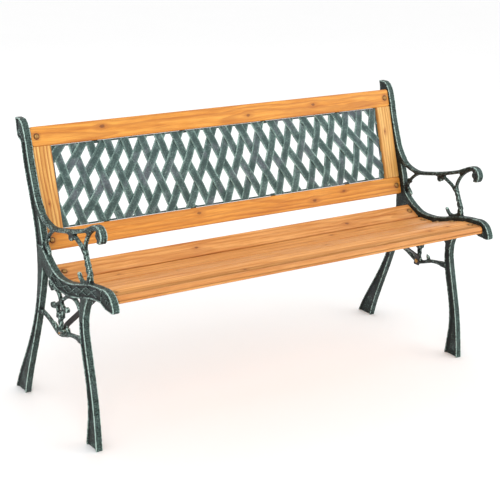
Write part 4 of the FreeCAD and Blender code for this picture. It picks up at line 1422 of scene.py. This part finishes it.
def set_wear_and_lit_side(mesh, edges, middle):
    """Stores where the casting is worn bright, where it is hollow and how open a face is. Faces
    turned to the light get painted light: brighter worn edges and lighter patina.
    """
    points = coordinates(mesh)
    normals = vertex_normals(mesh)
    fine = ((points - smoothed(points, edges, 3)) * normals).sum(1) / MM
    broad = ((points - smoothed(points, edges, 14)) * normals).sum(1) / MM
    fine = smoothed(fine, edges, 1)
    wear_and_lit_edge = np.clip(fine / 0.34, 0, 1) * 0.75 + np.clip(broad / 1.3, 0, 1) * 0.4
    cavity = np.clip(-fine / 0.3, 0, 1) * 0.6 + np.clip(-broad / 0.9, 0, 1) * 0.6
    light_way = np.array(LIGHT_AND_BRUSH_FROM) / np.linalg.norm(LIGHT_AND_BRUSH_FROM)
    smooth_normals = smoothed(normals, edges, 2)
    faces_light = np.clip(smooth_normals @ light_way, 0, 1)
    # Painted highlight: worn edges turned to the light are made brighter.
    set_attribute(mesh, "wear_and_lit_edge", np.clip(wear_and_lit_edge * (0.55 + 0.45 * faces_light), 0, 1))
    set_attribute(mesh, "cavity", np.clip(cavity, 0, 1))
    # Painted light: faces turned to the light take lighter patina.
    set_attribute(mesh, "patina_and_lit_side", np.clip(0.22 + 0.55 * faces_light + 0.15 * middle, 0, 1))


def mirrored(mesh):
    """The same mesh on the other side of the bench, with its faces still outwards."""
    copy = mesh.copy()
    points = coordinates(copy)
    points[:, 0] *= -1
    set_coordinates(copy, points)
    copy.flip_normals()
    copy.update()
    return copy


def relief_mesh():
    """The raised lines and curls of the left casting as one mesh, with its wear."""
    mesh = mesh_from(*fine_relief())
    outward(mesh)
    points = np.clip(coordinates(mesh), np.array(FRAME_LOW), np.array(FRAME_HIGH))
    set_coordinates(mesh, points)
    normals = vertex_normals(mesh)
    proud = np.clip(-normals[:, 0], 0, 1)
    set_attribute(mesh, "wear_and_lit_edge", 0.1 + 0.3 * proud)
    set_attribute(mesh, "cavity", 0.3 * (1 - proud))
    set_attribute(mesh, "patina_and_lit_side", 0.35 + 0.3 * proud)
    mesh.shade_smooth()
    return mesh


class BENCH_OT_side_frames(bpy.types.Operator):
    """Makes the two cast side frames with their relief"""
    bl_idname = "bench.side_frames"
    bl_label = "Side Frames"

    def execute(self, context):
        iron = cast_material("cast_iron", colour(58, 56, 66), 0.3)
        left = casting_mesh()
        relief = relief_mesh()
        for side, name in ((left, "left"), (mirrored(left), "right")):
            new_piece(name + "_casting", side, iron,
                      [name + "_side_frame"])
        for side, name in ((relief, "left"), (mirrored(relief), "right")):
            new_piece(name + "_casting_relief", side, iron)
        return {"FINISHED"}


# ---------------------------------------------------------------------------
# Back panel


def cut_to(mesh, low, high):
    """Cuts a mesh to a box in X and Y, and closes the cuts."""
    shape = bmesh.new()
    shape.from_mesh(mesh)
    planes = [((low[0], 0, 0), (-1, 0, 0)), ((high[0], 0, 0), (1, 0, 0)),
              ((0, low[1], 0), (0, -1, 0)), ((0, high[1], 0), (0, 1, 0))]
    for place, way in planes:
        parts = list(shape.verts) + list(shape.edges) + list(shape.faces)
        bmesh.ops.bisect_plane(shape, geom=parts, plane_co=place, plane_no=way,
                               clear_outer=True, dist=1e-7)
        open_edges = [edge for edge in shape.edges if edge.is_boundary]
        bmesh.ops.holes_fill(shape, edges=open_edges, sides=0)
    turn_outward(shape)
    shape.to_mesh(mesh)
    shape.free()
    mesh.update()


def soft_box(low, high, radius, steps=3):
    """A bar with rounded long edges: its points and faces."""
    size = [b - a for a, b in zip(low, high)]
    longest = size.index(max(size))
    others = [axis for axis in range(3) if axis != longest]
    half = [size[axis] / 2 for axis in others]
    outline, _ = rounded_outline(half[0], half[1], [radius] * 4, steps)
    points = []
    for end in (low[longest], high[longest]):
        for a, b in outline:
            place = [0, 0, 0]
            place[longest] = end
            place[others[0]] = low[others[0]] + half[0] + a
            place[others[1]] = low[others[1]] + half[1] + b
            points.append(tuple(place))
    return points, ring_faces(2, len(outline))


# Points along each strip, and the rows of crossings that it passes on either side of the fan's
# middle row. Then the rounded edges, and the gap that tells one tab's points from the next's.
STRIP_POINTS = 72
ROWS_BELOW = 3.9
ROWS_ABOVE = 1.7
BORDER_ROUND = 1.2 * MM
TAB_ROUND = 1.0 * MM
TAB_THICKNESS = 3 * MM
TAB_GAP = 30 * MM


class BENCH_OT_back_panel(bpy.types.Operator):
    """Makes the woven cast panel with its border and tabs"""
    bl_idname = "bench.back_panel"
    bl_label = "Back Panel"

    def execute(self, context):
        look = settings().lattice
        iron = cast_material("lattice_iron", colour(104, 102, 116), 0.5, colour(120, 148, 142),
                             1.3, colour(62, 82, 80), 0.55)
        place, (_, half_rail, _) = board_place("back_bottom_rail")
        to_panel = place.inverted()
        points = np.array([to_panel @ v.co for v in NODES["back_lattice_panel"].data.vertices])
        front = points[:, 2].max()
        deep = front - 2 * (look.strip_thickness / 2 + look.weave)
        inside = points[(points[:, 2] > deep + MM) & (np.abs(points[:, 1]) > half_rail)]
        low = inside.min(0)
        high = inside.max(0)
        middle = (low[1] + high[1]) / 2
        depth = (front + deep) / 2
        tree = strip_tree()
        parts = []
        for hand in (1.0, -1.0):
            values = {"Strips": look.strips, "Points": STRIP_POINTS,
                      "Rows Below": ROWS_BELOW, "Rows Above": ROWS_ABOVE,
                      "Squeeze": look.squeeze, "Pitch": look.pitch, "Row": look.row,
                      "Fan Radius": look.fan_radius,
                      "Fan Centre": middle + look.fan_rise + look.fan_radius,
                      "Width": look.strip_width, "Thickness": look.strip_thickness,
                      "Rim": look.rim, "Weave": look.weave, "Hand": hand, "Material": iron}
            strips = run_tree(tree, values)
            cut_to(strips, low[:2] + 0.5 * MM, high[:2] - 0.5 * MM)
            strips.transform(Matrix.Translation((0, 0, depth)))
            strip_look(strips, look.strip_width)
            parts.append(strips)
        back = depth - look.strip_thickness / 2 - look.weave * 0.6
        fore = depth + look.strip_thickness * 0.2
        border = look.border
        sides = [(low[0], low[1], high[0], low[1] + border),
                 (low[0], high[1] - border, high[0], high[1]),
                 (low[0], low[1], low[0] + border, high[1]),
                 (high[0] - border, low[1], high[0], high[1])]
        bars = [soft_box((x0, y0, back), (x1, y1, fore), BORDER_ROUND) for x0, y0, x1, y1 in sides]
        bars += tab_shapes(points, low, high, back)
        border_mesh = mesh_from(*joined(bars))
        outward(border_mesh)
        for label, value in (("wear_and_lit_edge", 0.1), ("cavity", 0.5), ("patina_and_lit_side", 0.2)):
            set_attribute(border_mesh, label, np.full(len(border_mesh.vertices), value))
        mesh = merged([*parts, border_mesh])
        mesh.transform(place)
        mesh.set_sharp_from_angle(angle=math.radians(38))
        new_piece("woven_back_panel", mesh, iron, ["back_lattice_panel"])
        return {"FINISHED"}


def tab_shapes(points, low, high, back):
    """The tabs behind the rails, where the CAD panel has them."""
    rear = points[:, 2].min()
    laps = points[points[:, 2] < rear + MM]
    bars = []
    for top in (False, True):
        row = laps[laps[:, 1] > (low[1] + high[1]) / 2] if top else \
            laps[laps[:, 1] < (low[1] + high[1]) / 2]
        xs = np.sort(row[:, 0])
        breaks = np.nonzero(np.diff(xs) > TAB_GAP)[0]
        starts = [xs[0], *xs[breaks + 1]]
        ends = [*xs[breaks], xs[-1]]
        far = row[:, 1].max() if top else row[:, 1].min()
        near = high[1] if top else low[1]
        foot = near - 6 * MM if top else near + 6 * MM
        for start, end in zip(starts, ends):
            bars.append(soft_box((start, min(far, foot), rear),
                                 (end, max(far, foot), rear + TAB_THICKNESS), TAB_ROUND))
            bars.append(soft_box((start, min(near, foot), rear),
                                 (end, max(near, foot), back + MM), TAB_ROUND))
    return bars


def strip_look(mesh, width):
    """Wear on the strips' raised edges, hollows along their middles, streaks' places, and painted
    light on faces turned out of the panel.
    """
    across = np.zeros(len(mesh.vertices))
    mesh.attributes["across"].data.foreach_get("value", across)
    strip = np.zeros(len(mesh.vertices) * 3)
    mesh.attributes["strip"].data.foreach_get("vector", strip)
    strip = strip.reshape(-1, 3)
    strip[:, 1] = across
    set_attribute(mesh, "strip", strip)
    share = np.abs(across) / (width / 2)
    set_attribute(mesh, "wear_and_lit_edge", 0.14 + 0.5 * smooth_step(share, 0.8, 0.93))
    set_attribute(mesh, "cavity", 0.3 * smooth_step(-share, -0.8, -0.55))
    normals = vertex_normals(mesh)
    # Painted light: faces turned out of the panel, towards the light, take lighter patina.
    set_attribute(mesh, "patina_and_lit_side", np.clip(0.5 + 0.2 * normals[:, 2], 0, 1))
    mesh.attributes.remove(mesh.attributes["across"])


# ---------------------------------------------------------------------------
# Wooden pieces

BOARD_SPACING = 3.1
STILE_EDGE = 0.3 * MM

# Each board's wood: tone, ring spacing, contrast, heart (side, depth), stains and knots
# (along, across, radius), in metres on the board's show face.
BOARDS = {
    "back_top_rail": ("rail", 0.0085, 0.44, (0.012, 0.020), 0.5,
                      [(-0.385, 0.008, 0.0050), (0.075, -0.006, 0.0042), (0.305, 0.004, 0.0040)]),
    "back_bottom_rail": ("rail", 0.0075, 0.36, (-0.020, 0.024), 0.4,
                         [(-0.130, 0.010, 0.0040), (0.262, -0.006, 0.0044),
                          (0.372, 0.008, 0.0036)]),
    "back_left_stile": ("stile", 0.0085, 0.75, (0.060, 0.028), 0.2, [(-0.040, 0.004, 0.0022)]),
    "back_right_stile": ("stile", 0.0070, 0.42, (0.048, 0.018), 0.2, [(0.033, 0.006, 0.0024)]),
    "seat_slat_1": ("seat", 0.0095, 0.26, (0.030, 0.022), 0.4,
                    [(0.430, 0.012, 0.0036), (-0.210, -0.014, 0.0030), (0.505, 0.020, 0.0026)]),
    "seat_slat_2": ("seat", 0.0085, 0.26, (-0.018, 0.030), 0.45, [(0.120, 0.006, 0.0030)]),
    "seat_slat_3": ("seat", 0.0090, 0.28, (0.024, 0.018), 0.5, [(-0.320, -0.008, 0.0034)]),
    "seat_slat_4": ("seat", 0.0080, 0.3, (-0.026, 0.026), 0.6,
                    [(-0.450, 0.004, 0.0032), (0.240, 0.010, 0.0030)]),
    "seat_slat_5": ("seat", 0.0085, 0.34, (0.014, 0.022), 0.8,
                    [(-0.180, 0.002, 0.0036), (0.330, -0.006, 0.0040)]),
}


def make_board(node, number):
    """Makes one board in its CAD node's place, with its own wood."""
    look = settings().wood
    tone, spacing, contrast, heart, streaks, knots = BOARDS[node]
    early = {"rail": look.rail_wood, "stile": look.stile_wood, "seat": look.seat_wood}[tone]
    start = board_start(number)
    moved = [(x + start[0], y + start[1], radius) for x, y, radius in knots]
    moved_heart = (heart[0] - start[1], heart[1] - start[2])
    place, (half_length, half_width, half_height) = board_place(node)
    bolts = [place.inverted() @ Vector(spot) for spot, _, _, _ in
             bolt_places("back_rail_bolts") + bolt_places("seat_slat_bolts")]
    bolts = [spot for spot in bolts if abs(spot.y) < half_width and abs(spot.z) < 2 * half_height]
    bolt = (abs(bolts[0].x), bolts[0].y, 0.0) if bolts and tone != "stile" else None
    material = pine_material("pine_" + node, early, spacing, contrast, moved_heart, streaks,
                             moved, start, bolt)
    radii = [look.edge_round] * 4
    corners = (look.slat_corner, look.slat_corner)
    if node == "seat_slat_1":
        faces_front = place.col[1].y < 0
        corners = (look.slat_corner, look.seat_corner)
        if faces_front:
            radii[0] = look.front_round
            corners = corners[::-1]
        else:
            radii[1] = look.front_round
    if tone == "rail":
        corners = (look.rail_corner, look.rail_corner)
    if tone == "stile":
        upright = Matrix.Rotation(math.radians(90), 4, "Z")
        mesh = board_mesh((half_width, half_length, half_height), radii, STILE_EDGE,
                          (STILE_EDGE, STILE_EDGE), start)
        mesh.transform(place @ upright)
    else:
        mesh = board_mesh((half_length, half_width, half_height), radii, look.end_round,
                          corners, start)
        mesh.transform(place)
    new_piece("pine_" + node, mesh, material, [node])


class BENCH_OT_back_boards(bpy.types.Operator):
    """Makes the two rails and the two stiles of the back"""
    bl_idname = "bench.back_boards"
    bl_label = "Back Boards"

    def execute(self, context):
        for number, node in enumerate(BOARDS, 1):
            if node.startswith("back"):
                make_board(node, number)
        return {"FINISHED"}


class BENCH_OT_seat_slats(bpy.types.Operator):
    """Makes the seat slats"""
    bl_idname = "bench.seat_slats"
    bl_label = "Seat Slats"

    def execute(self, context):
        for number, node in enumerate(BOARDS, 1):
            if node.startswith("seat"):
                make_board(node, number)
        return {"FINISHED"}


# ---------------------------------------------------------------------------
# Fasteners


def long_axis(points):
    """The direction in which a long solid lies, from its points."""
    _, _, ways = np.linalg.svd(points - points.mean(0), full_matrices=False)
    return ways[0]


def squared(way):
    """A fastener's direction made exact: along the bench, or square to it."""
    if abs(way[0]) > 0.9:
        return np.array([math.copysign(1.0, way[0]), 0.0, 0.0])
    exact = np.array([0.0, way[1], way[2]])
    return exact / np.linalg.norm(exact)


def bolt_places(node):
    """Seat of each bolt's head, the way its head faces and its shank's length."""
    look = settings().hardware
    places = []
    for points in islands(node):
        way = squared(long_axis(points))
        reach = points @ way
        middle = (reach.min() + reach.max()) / 2
        from_axis = np.linalg.norm(points - points.mean(0)
                                   - np.outer((points - points.mean(0)) @ way, way), axis=1)
        if reach[np.argmax(from_axis)] < middle:
            way = -way
            reach = -reach
        total = reach.max() - reach.min()
        centre = (points.max(0) + points.min(0)) / 2
        wide = points[from_axis > 0.9 * from_axis.max()]
        rim = wide.mean(0)
        seat = rim + way * (reach.max() - look.head_height - (wide @ way).mean())
        places.append((seat, way, total - look.head_height, centre))
    return places


class BENCH_OT_fasteners(bpy.types.Operator):
    """Makes the bolts, washers and nuts"""
    bl_idname = "bench.fasteners"
    bl_label = "Fasteners"

    def execute(self, context):
        look = settings().hardware
        plated = metal_material("plated_bolt", look.plating, 0.85, 0.28, 0.45, 0.35)
        zinc = metal_material("zinc_hardware", look.zinc, 0.9, 0.32, 0.5, 0.35)
        bolts = bolt_tree()
        for node in ("seat_slat_bolts", "back_rail_bolts", "support_bar_bolts"):
            found = bolt_places(node)
            mesh = point_mesh([f[0] for f in found], [f[1] for f in found])
            length = found[0][2]
            values = {"Head Width": look.head_width, "Head Height": look.head_height,
                      "Shank Width": look.shank_width, "Shank Length": length,
                      "Thread Length": look.thread_length, "Thread Pitch": look.thread_pitch,
                      "Material": plated}
            made = run_tree(bolts, values, mesh)
            made.set_sharp_from_angle(angle=math.radians(40))
            new_piece(node + "_domed", made, plated, [node])
        rings = nut_tree()
        for group in ("seat_slat", "back_rail", "support_bar"):
            bolted = bolt_places(group + "_bolts")
            for kind, sides in (("nuts", 6), ("washers", 48)):
                node = group + "_" + kind
                places = []
                axes = []
                for points in islands(node):
                    centre = (points.max(0) + points.min(0)) / 2
                    way = min(bolted, key=lambda bolt: np.linalg.norm(bolt[3] - centre))[1]
                    reach = points @ way
                    height = reach.max() - reach.min()
                    flat = points - centre
                    radial = np.linalg.norm(flat - np.outer(flat @ way, way), axis=1)
                    places.append(centre)
                    axes.append(way)
                values = {"Sides": sides, "Outer Width": 2 * radial.max(),
                          "Bore": 2 * radial.min(), "Height": height,
                          "Break": 0.0006 if sides == 6 else 0.0003, "Material": zinc}
                made = run_tree(rings, values, point_mesh(places, axes))
                outward(made)
                made.set_sharp_from_angle(angle=math.radians(35))
                new_piece(node + "_turned", made, zinc, [node])
        for node in ("strap_screws", "strap_bolt", "strap_nut", "lattice_screws"):
            dress(node, zinc)
        return {"FINISHED"}


class BENCH_OT_hidden_parts(bpy.types.Operator):
    """Gives the bar, the strap and the dowels their finishes"""
    bl_idname = "bench.hidden_parts"
    bl_label = "Bar, Strap and Dowels"

    def execute(self, context):
        look = settings().hardware
        steel = metal_material("painted_steel", look.steel, 0.1, 0.35, 0.55, 0.5)
        dress("seat_support_bar", steel)
        dress("seat_centre_strap", steel)
        dress("stile_dowels", metal_material("dowel_wood", colour(206, 170, 120), 0.0, 0.6, 0.8,
                                             0.5))
        return {"FINISHED"}


# ---------------------------------------------------------------------------
# Stage


# Each light: its place, what it faces, its size and its share of the main light's power.
LIGHTS = [("key", (-2.4, -3.2, 3.4), (0, 0, 0.4), (2.2, 2.2), 1.0),
          ("fill", (3.2, -2.2, 2.0), (0, 0, 0.4), (2.5, 2.0), 0.35),
          ("rim", (0.5, 3.0, 3.0), (0, 0, 0.5), (2.5, 1.5), 0.4)]
CAMERA_LENS = 93.58
CAMERA_SENSOR = 36.0
CAMERA_SHIFT = (0.0354, 0.0087)
CAMERA_REACH = 100.0
# Turned from the front, raised from level and rolled, in degrees.
CAMERA_ANGLES = (-34.84, 18.624, 2.27)
CAMERA_TARGET = (-0.0713, 0.037, 0.36)
CAMERA_DISTANCE = 3.531


def area_light(name, place, target, size, power):
    """A soft light at a place, turned to a target."""
    data = bpy.data.lights.new(name, "AREA")
    data.shape = "RECTANGLE"
    data.size = size[0]
    data.size_y = size[1]
    data.energy = power
    light = bpy.data.objects.new(name, data)
    bpy.context.scene.collection.objects.link(light)
    light.location = place
    light.rotation_euler = (Vector(target) - Vector(place)).to_track_quat("-Z", "Y").to_euler()


class BENCH_OT_stage(bpy.types.Operator):
    """Makes the floor, the lights and the camera"""
    bl_idname = "bench.stage"
    bl_label = "Stage"

    def execute(self, context):
        look = settings().stage
        reach = look.floor_reach
        mesh = mesh_from([(-reach, -reach, 0), (reach, -reach, 0), (reach, reach, 0),
                          (-reach, reach, 0)], [(0, 1, 2, 3)])
        material, tree, shader = blank_material("floor")
        place = tree.node("ShaderNodeTexCoord").outputs["Object"]
        pale = with_alpha(look.floor)
        darker = with_alpha([part * 0.985 for part in look.floor])
        tree.link(tree.mix(tree.noise(place, 2.0), pale, darker), shader["Base Color"])
        finish_values(shader, Roughness=0.9, Specular_IOR_Level=0.1)
        mesh.materials.append(material)
        floor = bpy.data.objects.new("floor", mesh)
        context.scene.collection.objects.link(floor)

        world = bpy.data.worlds.new("studio")
        world.use_nodes = True
        background = world.node_tree.nodes["Background"]
        background.inputs["Color"].default_value = (1, 1, 1, 1)
        background.inputs["Strength"].default_value = look.sky
        context.scene.world = world
        context.scene.view_settings.view_transform = "Standard"
        for name, place, aim, size, share in LIGHTS:
            area_light(name, place, aim, size, look.key * share)

        data = bpy.data.cameras.new("camera")
        data.lens = CAMERA_LENS
        data.sensor_width = CAMERA_SENSOR
        data.shift_x, data.shift_y = CAMERA_SHIFT
        data.clip_end = CAMERA_REACH
        camera = bpy.data.objects.new("camera", data)
        context.scene.collection.objects.link(camera)
        azimuth, elevation, roll = (math.radians(angle) for angle in CAMERA_ANGLES)
        away = Vector((math.sin(azimuth) * math.cos(elevation),
                       -math.cos(azimuth) * math.cos(elevation), math.sin(elevation)))
        camera.location = Vector(CAMERA_TARGET) + away * CAMERA_DISTANCE
        turn = (-away).to_track_quat("-Z", "Y").to_matrix()
        camera.rotation_euler = (turn @ Matrix.Rotation(roll, 3, "Z")).to_euler()
        context.scene.camera = camera
        return {"FINISHED"}


# ---------------------------------------------------------------------------
# Add-on


class BENCH_PT_panel(bpy.types.Panel):
    """Lists the bench's pieces and settings"""
    bl_idname = "BENCH_PT_panel"
    bl_label = "Garden Bench"
    bl_space_type = "VIEW_3D"
    bl_region_type = "UI"
    bl_category = "Bench"

    def draw(self, context):
        for operator in OPERATORS:
            self.layout.operator(operator.bl_idname)
        for group in ("casting", "lattice", "wood", "hardware", "stage"):
            box = self.layout.box()
            box.label(text=group.capitalize())
            part = getattr(context.scene.garden_bench, group)
            for name in part.bl_rna.properties.keys():
                if name not in ("rna_type", "name"):
                    box.prop(part, name)


OPERATORS = [BENCH_OT_stage, BENCH_OT_side_frames, BENCH_OT_back_panel, BENCH_OT_back_boards,
             BENCH_OT_seat_slats, BENCH_OT_fasteners, BENCH_OT_hidden_parts]
CLASSES = [BenchCastingSettings, BenchLatticeSettings, BenchWoodSettings, BenchHardwareSettings,
           BenchStageSettings, BenchSettings, *OPERATORS, BENCH_PT_panel]


def register():
    for item in CLASSES:
        bpy.utils.register_class(item)
    bpy.types.Scene.garden_bench = PointerProperty(type=BenchSettings)


def unregister():
    del bpy.types.Scene.garden_bench
    for item in reversed(CLASSES):
        bpy.utils.unregister_class(item)


def main():
    register()
    bpy.ops.bench.stage()
    bpy.ops.bench.side_frames()
    bpy.ops.bench.back_panel()
    bpy.ops.bench.back_boards()
    bpy.ops.bench.seat_slats()
    bpy.ops.bench.fasteners()
    bpy.ops.bench.hidden_parts()


if __name__ == "__main__":
    main()
